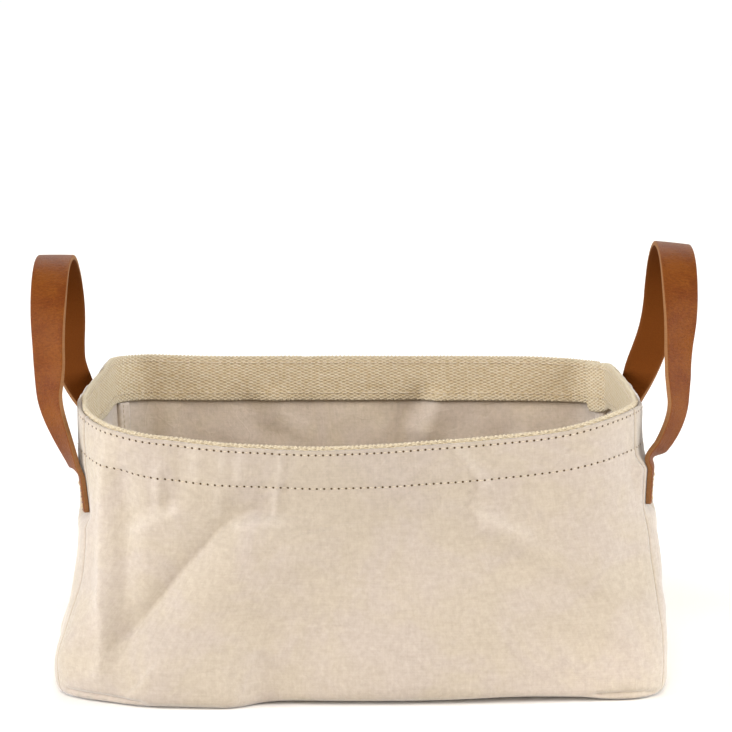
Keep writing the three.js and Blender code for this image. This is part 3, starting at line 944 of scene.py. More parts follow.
def new_material(name: str) -> tuple[Material, Recipe]:
    """Makes a material with an empty node tree.

    Args:
        name: Its name.

    Returns:
        The material and its tree.
    """
    material = bpy.data.materials.new(name)
    material.use_nodes = True
    material.node_tree.nodes.clear()
    return material, Recipe(material.node_tree)


@dataclass(frozen=True)
class WashedCanvas:
    """Heavy plain-woven cotton, washed after sewing, which leaves it matt, clouded and finely creased."""

    name: str = "washed_cotton_canvas"
    warm: str = "A49887"
    mauve: str = "A3978A"
    # colour of pale crests: partly wear, partly a painted highlight
    pale: str = "C5BAAE"
    # colour painted into the needle holes, as their shade
    hole: str = "47351F"
    cloud: float = 48.0  # size of the clouds that washing leaves
    crumple: float = 24.0  # distance between the fine crease marks
    bend: float = 30.0  # size of the noise that bends them
    thread: float = 1.1  # threads lie 0.6 mm apart; drawn coarser, because 0.6 mm can't show
    hole_radius: float = 0.66
    mottle: float = 3.2  # patches where the washed threads bunch up
    # how much paler the inside is painted, as painted light
    inside_painted_light: float = 0.3

    def holes(self, recipe: Recipe, along: Socket, height: Socket) -> Socket:
        """Needle holes, painted dark as the shade inside them: one at the end of every stitch, on the two
        rows round the rim.

        Args:
            recipe: The tree.
            along: Distance along the rim, in which the holes repeat every PITCH.
            height: Unsunk height.

        Returns:
            1 in a hole and 0 outside.
        """
        step = recipe.maths("WRAP", along, PITCH / 2, -PITCH / 2)
        dots = []
        for row in (TOP_ROW, LOWER_ROW):
            both = recipe.add("CombineXYZ", {0: step, 1: recipe.maths("SUBTRACT", height, row)})
            gap = recipe.add("VectorMath", {0: both}, "Value", operation="LENGTH")
            dots.append(recipe.step(gap, 0.8 * self.hole_radius, 1.15 * self.hole_radius, 1.0, 0.0))
        return recipe.maths("MAXIMUM", *dots)

    def material(self) -> Material:
        """Builds the node tree: clouds, thread streaks, crease marks, crests painted pale, painted light and
        shade from the inside mark, needle holes painted dark as shade, and weave.

        Returns:
            The material.
        """
        material, recipe = new_material(self.name)
        cloth, where = recipe.cloth(), recipe.where()
        along, height, _ = recipe.parts(cloth)
        clouds = recipe.noise(where, PER_METRE / self.cloud, 4.0, 0.6, 0.6)
        hue = recipe.step(clouds, 0.38, 0.62)
        base = recipe.colour(hue, self.warm, self.mauve)
        # Thick and thin threads show as faint streaks both ways, about 1 mm by 14 mm.
        streaks = []
        for shift, scale in ((0.0, (0.07, 1.0, 1.0)), (7.0, (1.0, 0.07, 1.0))):
            drawn = recipe.add("Mapping", {"Vector": cloth, "Scale": scale, "Location": (shift, 3.0, 0.0)})
            streaks.append(recipe.noise(drawn, 1.0, 3.0, 0.65))
        woven = recipe.maths("ADD", *streaks)
        # Fine crease marks: the borders of crumpled cells, bent by a noise and broken up by the clouds.
        bend = recipe.noise(where, PER_METRE / self.bend, 3.0, output=1)
        cells = recipe.add("TexVoronoi", {"Vector": recipe.shifted(0.035, where, bend),
                                          "Scale": PER_METRE / self.crumple}, feature="DISTANCE_TO_EDGE")
        lines = recipe.step(cells, 0.0, 0.075, 1.0, 0.0)
        worn = recipe.maths("MULTIPLY", lines, hue)
        # Pale crests of sharp folds, from the crease mark: partly wear, partly a painted highlight.
        marks = recipe.add("Math", {0: worn, 1: 0.22, 2: recipe.mark("crease")},
                           operation="MULTIPLY_ADD", use_clamp=True)
        creased = recipe.colour(recipe.maths("MULTIPLY", marks, 0.2), base, self.pale)
        specks = recipe.noise(where, PER_METRE / self.mottle, 4.0, 0.7)
        uneven = recipe.maths("MULTIPLY_ADD", woven, 0.35, specks)
        tone = recipe.ramp(uneven, 0.62, 1.08, 0.89, 1.11)
        # Painted light and shade, from the inside mark: the inside is painted paler, as light reaching into
        # the bin; outside, the mark paints the top middle darker as shade and the low right paler as light.
        kept = recipe.maths("MULTIPLY_ADD", recipe.mark("inside"), self.inside_painted_light, 1.0)
        toned = recipe.colour(1.0, creased, recipe.maths("MULTIPLY", tone, kept), "MULTIPLY")
        holes = self.holes(recipe, along, height)
        ribs = [recipe.maths("SINE", recipe.maths("MULTIPLY", run, 2 * math.pi / self.thread))
                for run in (along, height)]
        weave = recipe.maths("MULTIPLY", *ribs)
        parts = ((weave, 0.012), (woven, 0.07), (specks, 0.30), (lines, 0.10), (clouds, 0.9), (holes, -0.15))
        # The needle holes are painted dark, as painted shade.
        recipe.surface("BsdfPrincipled", {
            "Base Color": recipe.colour(holes, toned, self.hole), "Roughness": 0.86, "IOR": 1.47,
            "Sheen Weight": 0.45, "Sheen Roughness": 0.4, "Specular IOR Level": 0.1,
            "Normal": recipe.relief(parts, 0.8),
        })
        return material


@dataclass(frozen=True)
class CottonWebbing:
    """Unbleached cotton webbing in a thick plain weave: rows of half-offset knuckles and a rope-like edge."""

    name: str = "unbleached_cotton_webbing"
    light: str = "C7BAA1"
    # painted shade between the knuckles
    gap: str = "97805A"
    fleck: str = "B5A17E"
    edge: str = "B3A78F"
    along: float = 5.0  # two half-offset knuckles along the band
    across: float = 2.05  # two rows of knuckles

    def material(self) -> Material:
        """Builds the node tree: knuckles where two cosines meet, painted shade between them, uneven threads,
        flecks and pale edges.

        Returns:
            The material.
        """
        material, recipe = new_material(self.name)
        cloth = recipe.cloth()
        rough = recipe.noise(cloth, 0.35, 2.0, output=1)
        parts = recipe.parts(recipe.shifted(0.28, cloth, rough))
        waves = [recipe.maths("COSINE", recipe.maths("MULTIPLY", run, 2 * math.pi / length))
                 for run, length in zip(parts, (self.along, self.across))]
        knuckle = recipe.maths("MULTIPLY", *waves)
        # The open parts between knuckles are painted darker, as painted shade.
        painted_gap_shade = recipe.step(knuckle, -0.9, 0.45, 1.0, 0.0)
        flecks = recipe.ramp(recipe.noise(cloth, 0.28, 3.0, 0.7), 0.35, 0.72)
        threads = recipe.colour(flecks, self.light, self.fleck)
        weave = recipe.colour(recipe.maths("MULTIPLY", painted_gap_shade, 0.62), threads, self.gap)
        edge = recipe.maths("MULTIPLY", recipe.mark("selvedge"), 0.75)
        fibres = recipe.noise(cloth, 2.2, 3.0)
        recipe.surface("BsdfPrincipled", {
            "Base Color": recipe.colour(edge, weave, self.edge), "Roughness": 0.9, "IOR": 1.47,
            "Sheen Weight": 0.1, "Specular IOR Level": 0.1,
            "Normal": recipe.relief(((knuckle, 0.26), (fibres, 0.16)), 1.0),
        })
        return material


@dataclass(frozen=True)
class TannedLeather:
    """Vegetable-tanned strap leather: a waxed grain side, a rough flesh side and pale cut edges."""

    name: str = "vegetable_tanned_leather"
    grain: str = "6C3B14"
    dark: str = "5F2F10"
    worn: str = "79471A"
    flesh: str = "5E300B"
    cut: str = "7D5737"
    pebble: float = 1.3  # grain cells are 0.5 to 1 mm; drawn coarser so that they show
    cloud: float = 22.0

    def material(self) -> Material:
        """Builds the node tree: clouds of dye, pebbled and wrinkled grain, fibrous flesh and cut edges.

        Returns:
            The material.
        """
        material, recipe = new_material(self.name)
        strap, cut, flesh = recipe.cloth(), recipe.mark("cut"), recipe.mark("flesh")
        clouds = recipe.noise(strap, 1 / self.cloud, 5.0, 0.62, 0.4)
        dyed = recipe.colour(recipe.step(clouds, 0.35, 0.65), self.dark, self.grain)
        cells = recipe.add("TexVoronoi", {"Vector": strap, "Scale": 1 / self.pebble, "Smoothness": 0.5},
                           feature="SMOOTH_F1")
        pores = recipe.noise(strap, 0.9, 4.0, 0.7)
        waxed = recipe.colour(recipe.ramp(pores, 0.5, 0.75, 0.0, 0.5), dyed, self.worn)
        # Short wrinkles in the grain, about 1 mm by 3 mm and mostly across the strap.
        flattened = recipe.add("Mapping", {"Vector": strap, "Scale": (0.9, 0.35, 1.0)})
        wrinkles = recipe.noise(flattened, 1.0, 5.0, 0.75, 0.5)
        grain = recipe.colour(1.0, waxed, recipe.ramp(wrinkles, 0.3, 0.72, 0.72, 1.22), "MULTIPLY")
        nap = recipe.noise(strap, 1.6, 4.0, 0.8)
        napped = recipe.ramp(nap, 0.3, 0.7, 0.82, 1.12)
        faces = recipe.colour(flesh, grain, recipe.colour(1.0, self.flesh, napped, "MULTIPLY"))
        fibres = recipe.colour(1.0, self.cut, napped, "MULTIPLY")
        raw = recipe.maths("MAXIMUM", cut, flesh)
        parts = ((cells, -0.10), (pores, 0.13), (nap, 0.06), (wrinkles, 0.35))
        recipe.surface("BsdfPrincipled", {
            "Base Color": recipe.colour(cut, faces, fibres),
            "Roughness": recipe.level(raw, recipe.ramp(pores, 0.3, 0.7, 0.36, 0.5), 0.82),
            "IOR": 1.5, "Specular IOR Level": 0.05, "Normal": recipe.relief(parts, 0.9),
        })
        return material


@dataclass(frozen=True)
class SewingThread:
    """Spun cotton thread, matt, with a fine twist."""

    name: str
    colour: str
    shade: str
    twist: float = 0.9  # the ply turns once in 0.9 mm

    def material(self) -> Material:
        """Builds the node tree: two tones in the pattern of the twist.

        Returns:
            The material.
        """
        material, recipe = new_material(self.name)
        ply = recipe.noise(recipe.where(), PER_METRE / self.twist, 2.0)
        tone = recipe.colour(recipe.ramp(ply, 0.35, 0.65), self.shade, self.colour)
        recipe.surface("BsdfPrincipled", {"Base Color": tone, "Roughness": 0.8, "Specular IOR Level": 0.3,
                                          "Normal": recipe.relief(((ply, 0.1),), 1.0)})
        return material


# ---- Stitches ----


@dataclass(frozen=True)
class Stitch:
    """One stitch: a short thread that rises out of one needle hole and goes down the next."""

    length: float
    radius: float
    rings: int = 5
    sides: int = 6

    def points(self) -> Array:
        """Points of a stitch, along, across and up: rings on a cosine arch, then the two sunk tips.

        Returns:
            The points. A ring's radius is that of a superellipse of power 4 along the stitch.
        """
        shares = np.linspace(-0.86, 0.86, self.rings)
        turns = np.arange(self.sides) * 2 * math.pi / self.sides
        lift = self.radius * (1.5 * np.cos(shares * math.pi / 2) - 0.7)
        thick = self.radius * np.sqrt(1 - shares**4)
        along = np.repeat(shares * self.length / 2, self.sides)
        across = (thick[:, None] * np.cos(turns)).ravel()
        up = (lift[:, None] + 0.85 * thick[:, None] * np.sin(turns)).ravel()
        tips = [[end * self.length / 2, 0.0, -0.9 * self.radius] for end in (-1, 1)]
        return np.concatenate([np.stack([along, across, up], axis=1), tips])

    def row(self, place: Place, count: int) -> Surface:
        """Repeats the stitch.

        Args:
            place: Carries along, across and up, each stitches by points, to their places.
            count: How many stitches.

        Returns:
            All of them in one surface.
        """
        points = self.points()
        placed = place(*(np.tile(points[:, i], (count, 1)) for i in range(3))).reshape(-1, 3)
        starts = np.arange(count)[:, None, None] * len(points)
        quads, triangles = tube_faces(self.rings, self.sides)
        return Surface(placed, (quads + starts).reshape(-1, 4), (triangles + starts).reshape(-1, 3),
                       np.tile(points[:, :2], (count, 1))).turned()


def sew(node: str, stitch: Stitch, place: Place, count: int, thread: Material, inward: bool = False) -> None:
    """Makes a row of stitches.

    Args:
        node: The node it stands for.
        stitch: One stitch.
        place: Carries along, across and up to their places.
        count: How many stitches.
        thread: The thread's material.
        inward: True if up leads into the bin, which turns the faces over.
    """
    row = stitch.row(place, count)
    fixed_piece(node, "stitches", row.turned() if inward else row, thread)


# ---- The canvas body ----


@dataclass(frozen=True)
class Wall:
    """One canvas wall, from a corner seam to the next, with the seams that are sewn through it."""

    name: str
    before: float
    after: float
    seams: tuple[str, ...] = ()


@dataclass
class CanvasBody:
    """Four canvas walls with their hems and seam allowances, the canvas bottom, and the seams' threads."""

    skin: Skin
    cloth: Material
    thread: Material
    spacing: float = 1.4  # between the points of a wall
    seam_pitch: float = 3.2
    bottom_pitch: float = 3.6
    foot_power: float = 3.4  # of the superellipse round which a wall turns under
    roll: float = 2.4  # width over which the edge of a wall rolls into its corner seam
    rolled_in: float = 0.55  # how far it rolls
    layer_gap: float = 0.15  # between seam allowances that lie on each other
    from_seam: float = 2.2  # from a corner seam to its stitches
    bottom_seam_height: float = 4.35
    elsewhere: tuple[float, float, float] = (500.0, 200.0, 700.0)  # strips and bottom on the cloth's pattern

    walls: tuple[Wall, ...] = (
        Wall("front_panel", FRONT_LEFT + SEAM_SHARE - FULL_TURN, RIGHT - SEAM_SHARE,
             ("front_left", "front_right")),
        Wall("right_end_panel", RIGHT - SEAM_SHARE, BACK_RIGHT + SEAM_SHARE),
        Wall("back_panel", BACK_RIGHT + SEAM_SHARE, LEFT - SEAM_SHARE, ("back_right", "back_left")),
        Wall("left_end_panel", LEFT - SEAM_SHARE, FRONT_LEFT + SEAM_SHARE),
    )

    def arc(self, centre: tuple[float, float], radius: float, start: float, end: float,
            steps: int) -> tuple[Array, Array]:
        """Part of a circle, from one angle to another.

        Args:
            centre: Its centre (n, z).
            radius: Its radius.
            start: The first angle in degrees.
            end: The last angle.
            steps: How many steps lie between them.

        Returns:
            Places and directions out of the cloth.
        """
        turn = np.radians(np.linspace(start, end, steps + 1))
        out = paired(np.cos(turn), np.sin(turn))
        return np.array(centre) + radius * out, out

    def foot(self, steps: int) -> tuple[Array, Array]:
        """The foot: |n / a|^p + |z / b|^p = 1, from its lowest point to its outermost, both left out.

        Args:
            steps: How many steps the whole turn has.

        Returns:
            Places and directions out of the cloth.
        """
        radii = np.array([FOOT_INSET - CANVAS, FOOT_HEIGHT - CANVAS / 2])
        share = np.linspace(0, 1, steps + 1)[1:-1]
        turn = np.stack([np.sin(share * math.pi / 2), -np.cos(share * math.pi / 2)], axis=1)
        bent = np.sign(turn) * np.abs(turn) ** (2 / self.foot_power)
        out = np.sign(turn) * np.abs(bent) ** (self.foot_power - 1) / radii
        return bent * radii + np.array([-FOOT_INSET + CANVAS / 2, FOOT_HEIGHT]), unit(out)

    def upright(self, n: float, start: float, end: float, out: float, steps: int) -> tuple[Array, Array]:
        """Places and directions on an upright stretch, without its last point."""
        z = np.linspace(start, end, steps, endpoint=False)
        return paired(n, z), np.tile([out, 0.0], (steps, 1))

    def path(self) -> tuple[Array, Array, Array]:
        """The middle of the cloth in a wall's section, from the bottom seam to the edge of the hem.

        The line stands down from the allowance, turns under on a quarter circle, runs round the foot
        on a squared quarter ellipse, up the wall, over the fold on a half circle and down the hem.

        Returns:
            Places (n, z), their directions out of the cloth, and the length run so far.
        """
        t, fold = CANVAS, (CANVAS + FOLD_GAP) / 2
        top = HEIGHT - t / 2 - fold
        hem = self.upright(-t / 2 - 2 * fold, top, HEIGHT - HEM_DEPTH, -1.0, 12)
        stretches = [
            self.upright(-FOOT_INSET - t / 2, ALLOWANCE, 1.5 * t, -1.0, 3),
            self.arc((-FOOT_INSET + t / 2, 1.5 * t), t, 180, 270, 4),
            self.foot(26),
            self.upright(-t / 2, FOOT_HEIGHT, top, 1.0, int((top - FOOT_HEIGHT) / self.spacing)),
            self.arc((-t / 2 - fold, top), fold, 0, 180, 8),
            (hem[0][1:], hem[1][1:]),
        ]
        places, out = (np.concatenate(rows) for rows in zip(*stretches))
        run = length_run(places)
        start = int(np.argmax((places[:, 0] > -t) & (places[:, 1] >= FOOT_HEIGHT)))
        return places, out, run - run[start] + FOOT_HEIGHT

    def sheet(self, wall: Wall) -> tuple[Surface, float, float]:
        """The wall's cloth: its section carried along the rim, with both faces.

        Args:
            wall: The wall.

        Returns:
            The closed sheet, and the width and length of cloth in it.
        """
        places, out, run = self.path()
        start = float(self.skin.distance(wall.before)) + CLEARANCE / 2
        end = float(self.skin.distance(wall.after)) - CLEARANCE / 2
        along = np.linspace(start, end, int((end - start) / self.spacing) + 1)
        u, z = floats(self.skin.place_at(along)[None, :], places[:, 1:])
        to_seam = np.minimum(along - start, end - along)
        rolled = self.rolled_in * np.square(np.clip(1 - to_seam / self.roll, 0, 1))
        faces = []
        for side, drawn_in in ((1, rolled), (-1, 0 * rolled)):
            shifted = places + side * out * CANVAS / 2
            faces.append(self.skin.place(u, shifted[:, 1:], shifted[:, :1] - drawn_in, 1.0))
        base = self.skin.point(u, z)
        crease = self.skin.relief(u, z, base, self.skin.directions(u, z)[0])[1]
        stitched = along * PITCH / self.skin.pitch  # so that the needle holes repeat every PITCH
        sheet = shell(faces[0], faces[1], paired(stitched[None, :], run[:, None]), {"crease": crease})
        # The inside is marked 1, so that it is painted paler, as painted light. Outside, the mark falls below
        # zero towards the middle of the rim, painted shade, and rises a little low on the right, painted
        # light.
        top_middle_painted_shade = bell(base[..., 0] + 5, 95.0) * smooth((base[..., 2] - 60) / 80)
        low_right_painted_light = bell(base[..., 0] - 150, 55.0) * (1 - smooth((base[..., 2] - 10) / 60))
        sheet.marks["inside"] = np.concatenate([(0.5 * low_right_painted_light - 0.4 * top_middle_painted_shade).ravel(), np.ones(u.size)])
        return sheet, end - start, float(run[-1] - run[0])

    def inner_marks(self, shape: tuple[int, ...]) -> dict[str, Array]:
        """Marks of cloth that shows its inside, painted paler as painted light, and has no pale crests."""
        return {"crease": np.zeros(shape), "inside": np.ones(shape)}

    def allowance(self, seam: float, direction: int, over: bool) -> Surface:
        """The strip of cloth beside a corner seam, folded flat against the inside of the long wall.

        Its section starts in the cloth's own edge, stands in, turns on a quarter circle and runs
        along the wall. The end wall's strip lies over the long wall's.

        Args:
            seam: Place of the seam on the plan.
            direction: 1 if the long wall lies towards larger u, or -1.
            over: True for the strip of the end wall.

        Returns:
            The closed strip.
        """
        layer = CANVAS + self.layer_gap
        level = CANVAS / 2 - CANVAS - (2 if over else 1) * layer
        start = (CLEARANCE + CANVAS) / (-2 if over else 2)
        radius = 1.4 if over else 0.65
        turn = np.radians(np.linspace(180, 270, 6))[1:]
        along = np.concatenate([[start, start], start + radius * (1 + np.cos(turn)),
                                np.linspace(start + radius, ALLOWANCE, 8)[1:]])
        depth = np.concatenate([[-CANVAS / 2, level + radius], level + radius * (1 + np.sin(turn)),
                                np.full(7, level)])
        run = np.stack([np.gradient(along), np.gradient(depth)], axis=-1)
        side = unit(run)[:, ::-1] * np.array([-1, 1]) * CANVAS / 2
        top = HEIGHT + WEBBING_RISE - WEBBING_WIDTH - 2 * CLEARANCE
        z = np.linspace(FOOT_HEIGHT, top, 60)[:, None]
        curl = -0.35 * np.square(np.clip(along / ALLOWANCE, 0, 1)) * (1 + np.sin(z / 9.0 + seam))
        faces = []
        for sense in (1, -1):
            a, n = along + sense * side[:, 0] + 0 * z, depth + sense * side[:, 1] + curl
            u = self.skin.march(np.full(a.shape, seam), z + 0 * a, direction * a)
            faces.append(self.skin.place(u, z, n))
        flat = paired(along + self.elsewhere[0] * direction + self.elsewhere[1] * over, z)
        return shell(faces[0], faces[1], flat, self.inner_marks(flat.shape[:2]))

    def build_wall(self, wall: Wall) -> None:
        """Makes a wall and the threads of its corner seams.

        Args:
            wall: The wall.
        """
        sheet, width, length = self.sheet(wall)
        over = wall.name.endswith("end_panel")
        inward = -1 if over else 1
        parts = [sheet, self.allowance(wall.before, inward, over), self.allowance(wall.after, -inward, over)]
        piece = fixed_piece(wall.name, "cloth", together(parts), self.cloth)
        cut = (METRES * (width + 2 * ALLOWANCE), METRES * length)
        LOG.info("%s: cut %.0f x %.0f mm", piece.name, cut[0] / METRES, cut[1] / METRES)
        for corner, seam, direction in zip(wall.seams, (wall.before, wall.after), (1, -1)):
            self.seam_thread(f"{corner}_seam_thread", seam, direction)

    def seam_thread(self, node: str, seam: float, direction: int) -> None:
        """The stitches up a corner seam, on the inside, through the allowances.

        Args:
            node: The node they stand for.
            seam: Place of the seam on the plan.
            direction: 1 if the long wall lies towards larger u, or -1.
        """
        top = HEIGHT + WEBBING_RISE - WEBBING_WIDTH - 2
        starts = np.arange(FOOT_HEIGHT + 2, top, self.seam_pitch)[:, None]

        def place(along: Array, across: Array, up: Array) -> Array:
            """Lays a stitch upright on the upper allowance, beside the seam."""
            z = starts + along
            u = self.skin.march(np.full(z.shape, seam), z, direction * (self.from_seam + across))
            return self.skin.place(u, z, -3 * CANVAS - 0.45 - up)

        sew(node, Stitch(self.seam_pitch - STITCH_GAP, 0.3), place, len(starts), self.thread)

    def build_bottom(self) -> None:
        """Makes the bottom: a sheet laid flat inside the foot, its edge turned up, and its seam."""
        inset = FOOT_INSET + CANVAS + CLEARANCE
        turns = np.linspace(0, FULL_TURN, 361)[:-1]
        out = self.skin.directions(turns, 0 * turns)[0]
        outline = self.skin.point(turns, 0 * turns) - out * inset
        shares = np.concatenate([np.linspace(0.0, 0.97, 72)[1:], [0.985, 1.0]])[:, None, None]
        faces = []
        for rim, lift in ((outline, 0.0), (outline - out * CANVAS, CANVAS)):
            floor = rim[None] * shares
            wave = Waves(71, 40, 130, 0.7).height(floor[..., 0], floor[..., 1])
            floor[..., 2] = lift + np.clip(wave + 0.75, 0.0, 3.0) * (1 - shares[..., 0] ** 8)
            upright = np.broadcast_to(rim[None], (5, *rim.shape)).copy()
            upright[..., 2:] = np.linspace(0.25, 1.0, 5)[:, None, None] * (ALLOWANCE - lift) + lift
            sheet = np.concatenate([floor, upright])
            sheet[..., 2] += self.skin.foot_lift(sheet[..., 0], sheet[..., 1])
            faces.append(sheet)
        stack = np.concatenate([faces[0], faces[1][::-1]])
        flat = stack[..., :2] + np.array([self.elsewhere[2], 0.0])
        bottom = tube(stack, flat, self.inner_marks(stack.shape[:2]))
        piece = fixed_piece("bottom_panel", "cloth", bottom, self.cloth)
        size = np.ptp(outline, axis=0)[:2] + 2 * ALLOWANCE
        LOG.info("%s: cut %.0f x %.0f mm with round corners", piece.name, *size)
        self.bottom_seam(inset + CANVAS + THREAD_LIFT)

    def bottom_seam(self, inset: float) -> None:
        """The stitches round the inside of the turned-up edge.

        Args:
            inset: How far inside the foot's outline they lie.
        """
        turns = np.linspace(0, FULL_TURN, 2001)
        run = length_run(self.skin.point(turns, 0 * turns))
        count = int(run[-1] / self.bottom_pitch)
        starts = (np.arange(count) * run[-1] / count)[:, None]

        def place(along: Array, across: Array, up: Array) -> Array:
            """Lays a stitch along the inside of the turned-up edge."""
            u = np.interp(np.mod(starts + along, run[-1]), run, turns)
            points = self.skin.point(u, 0 * u) - self.skin.directions(u, 0 * u)[0] * (inset + up)[..., None]
            lift = self.skin.foot_lift(points[..., 0], points[..., 1])
            points[..., 2] = self.bottom_seam_height + across + lift
            return points

        sew("bottom_seam_thread", Stitch(self.bottom_pitch - STITCH_GAP, 0.3), place, count, self.thread)

    def build(self) -> None:
        """Makes the bottom and the four walls."""
        self.build_bottom()
        for wall in self.walls:
            self.build_wall(wall)


# ---- The webbing and its rows of stitches ----


@dataclass
class RimBand:
    """The webbing inside the rim, lapped near the right back corner, and the stitches that hold it."""

    skin: Skin
    webbing: Material
    thread: Material
    lap: float = 12.0
    ramp: float = 8.0  # length over which the lapped end climbs onto the beginning
    end_before_corner: float = 17.0
    step: float = 0.6  # between the rings of its mesh
    knuckle: float = 2.5
    bevel: float = 1.0  # rounding of its edges
    pull: float = 0.35  # share of the stitches' pull that reaches it

    @cached_property
    def end(self) -> float:
        """Distance along the rim to the webbing's lapped end."""
        return float(self.skin.distance(FULL_TURN + BACK)) - self.end_before_corner

    def stepped(self, along: Array) -> Array:
        """How far the lapped end lies further in, over the beginning of the webbing."""
        start = self.end - self.lap - self.ramp
        return -(WEBBING_THICKNESS + CLEARANCE) * smooth((along - start) / self.ramp)

    @property
    def outer(self) -> float:
        """The webbing's face against the hem."""
        return -2 * CANVAS - FOLD_GAP - CLEARANCE

    def build_webbing(self) -> None:
        """Makes the webbing: a flat section with rounded edges, carried round the rim.

        The edges swell with a cosine of the knuckle's length, as a selvedge does where the weft turns.
        """
        half, thick = WEBBING_WIDTH / 2, WEBBING_THICKNESS / 2
        flat_half = half - self.bevel
        face = np.linspace(-flat_half, flat_half, 11)
        bend = np.radians(np.linspace(90, -90, 7)[1:-1])
        heights = np.concatenate([face, flat_half + np.cos(bend), face[::-1], -flat_half - np.cos(bend)])
        depths = np.concatenate([np.ones(11), np.sin(bend), -np.ones(11), -np.sin(bend)]) * thick
        start = self.end - self.lap - self.skin.girth
        along = np.arange(start, self.end, self.step)[:, None]
        beat = 2 * math.pi * along / self.knuckle + 0.8 * np.sin(along / 7.3) + 0.6 * np.sin(along / 2.9)
        edge, upper = smooth((np.abs(heights) - half + 1.8) / 1.2), np.sign(heights)
        swell = 1 + edge * (0.30 + 0.24 * np.cos(beat + upper * 1.3))
        loops = 0.26 + 0.14 * np.sin(along / 3.7) * np.sin(along / 11.0 + 1)
        lift = upper * edge * loops * np.cos(beat + upper * 1.3 + 0.6)
        fray = 0.9 * np.sin(heights / 2.1) + 0.5 * np.sin(heights / 0.9) - 1.5 * smooth((-8 - heights) / 7)
        places = along + fray * (smooth((along - self.end + 4) / 4) + smooth((start + 4 - along) / 4))
        # The lapped end sags, its lower edge more than its upper edge.
        droop = smooth((along - self.end + 36) / 26) * (0.8 + 4.2 * (half - heights) / WEBBING_WIDTH)
        z = HEIGHT + WEBBING_RISE - half + heights + lift - droop
        n = self.outer - thick + depths * swell + self.stepped(along)
        points = self.skin.place(self.skin.place_at(places), z, n, self.pull)
        marks = {"selvedge": np.broadcast_to(edge, places.shape)}
        band = tube(points, paired(places, heights), marks)
        piece = fixed_piece("rim_webbing", "band", band, self.webbing)
        LOG.info("%s: %.0f mm long", piece.name, self.skin.girth + self.lap)

    def build_row(self, node: str, height: float, inside: bool) -> None:
        """Makes one row of stitches, on the canvas outside or on the webbing inside.

        Args:
            node: The row's name.
            height: Its unsunk height.
            inside: True for the row that shows on the webbing.
        """
        pitch = self.skin.pitch
        first = math.ceil((self.end - self.skin.girth) / pitch)
        starts = ((np.arange(first, math.floor(self.end / pitch)) + 0.5) * pitch)[:, None]

        def place(along: Array, across: Array, up: Array) -> Array:
            """Lays a stitch along the rim, on the outer or the inner face."""
            u = self.skin.place_at(starts + along)
            if inside:
                n = self.outer - WEBBING_THICKNESS - 0.12 - up + self.stepped(starts + along)
                return self.skin.place(u, height + across, n, self.pull)
            return self.skin.place(u, height + across, 0.02 + up, 1.0)

        stitch = Stitch(PITCH - 1.5, 0.34) if inside else Stitch(PITCH - 2.1, 0.25)
        sew(node, stitch, place, len(starts), self.thread, inside)

    def build(self) -> None:
        """Makes the webbing and its four rows."""
        self.build_webbing()
        for kind, inside in (("", False), ("bobbin_", True)):
            self.build_row(f"rim_top_{kind}thread", TOP_ROW, inside)
            self.build_row(f"rim_lower_{kind}thread", LOWER_ROW, inside)


# ---- Handles ----


@dataclass(frozen=True)
class Leg:
    """How one leg of a handle swings out from the wall and turns on its way up."""

    kick: float
    reach: float
    twist: float
    turn_height: float
    eager: float = 0.0  # 0 leaves the wall gently, 1 leaves it at a slope at once

    def swing(self, height: Array) -> Array:
        """How far the leg stands out at a height: a smooth step, or 1 - (1 - t)^2 in its eager share."""
        t = np.clip(height / self.reach, 0, 1)
        return self.kick * mix(smooth(t), t * (2 - t), self.eager)

    def quick(self, height: Array) -> Array:
        """Share of the first turn that is done at a height: a smooth step, or straight in its eager share."""
        t = np.clip(height / self.turn_height, 0, 1)
        return mix(smooth(t), t, self.eager)


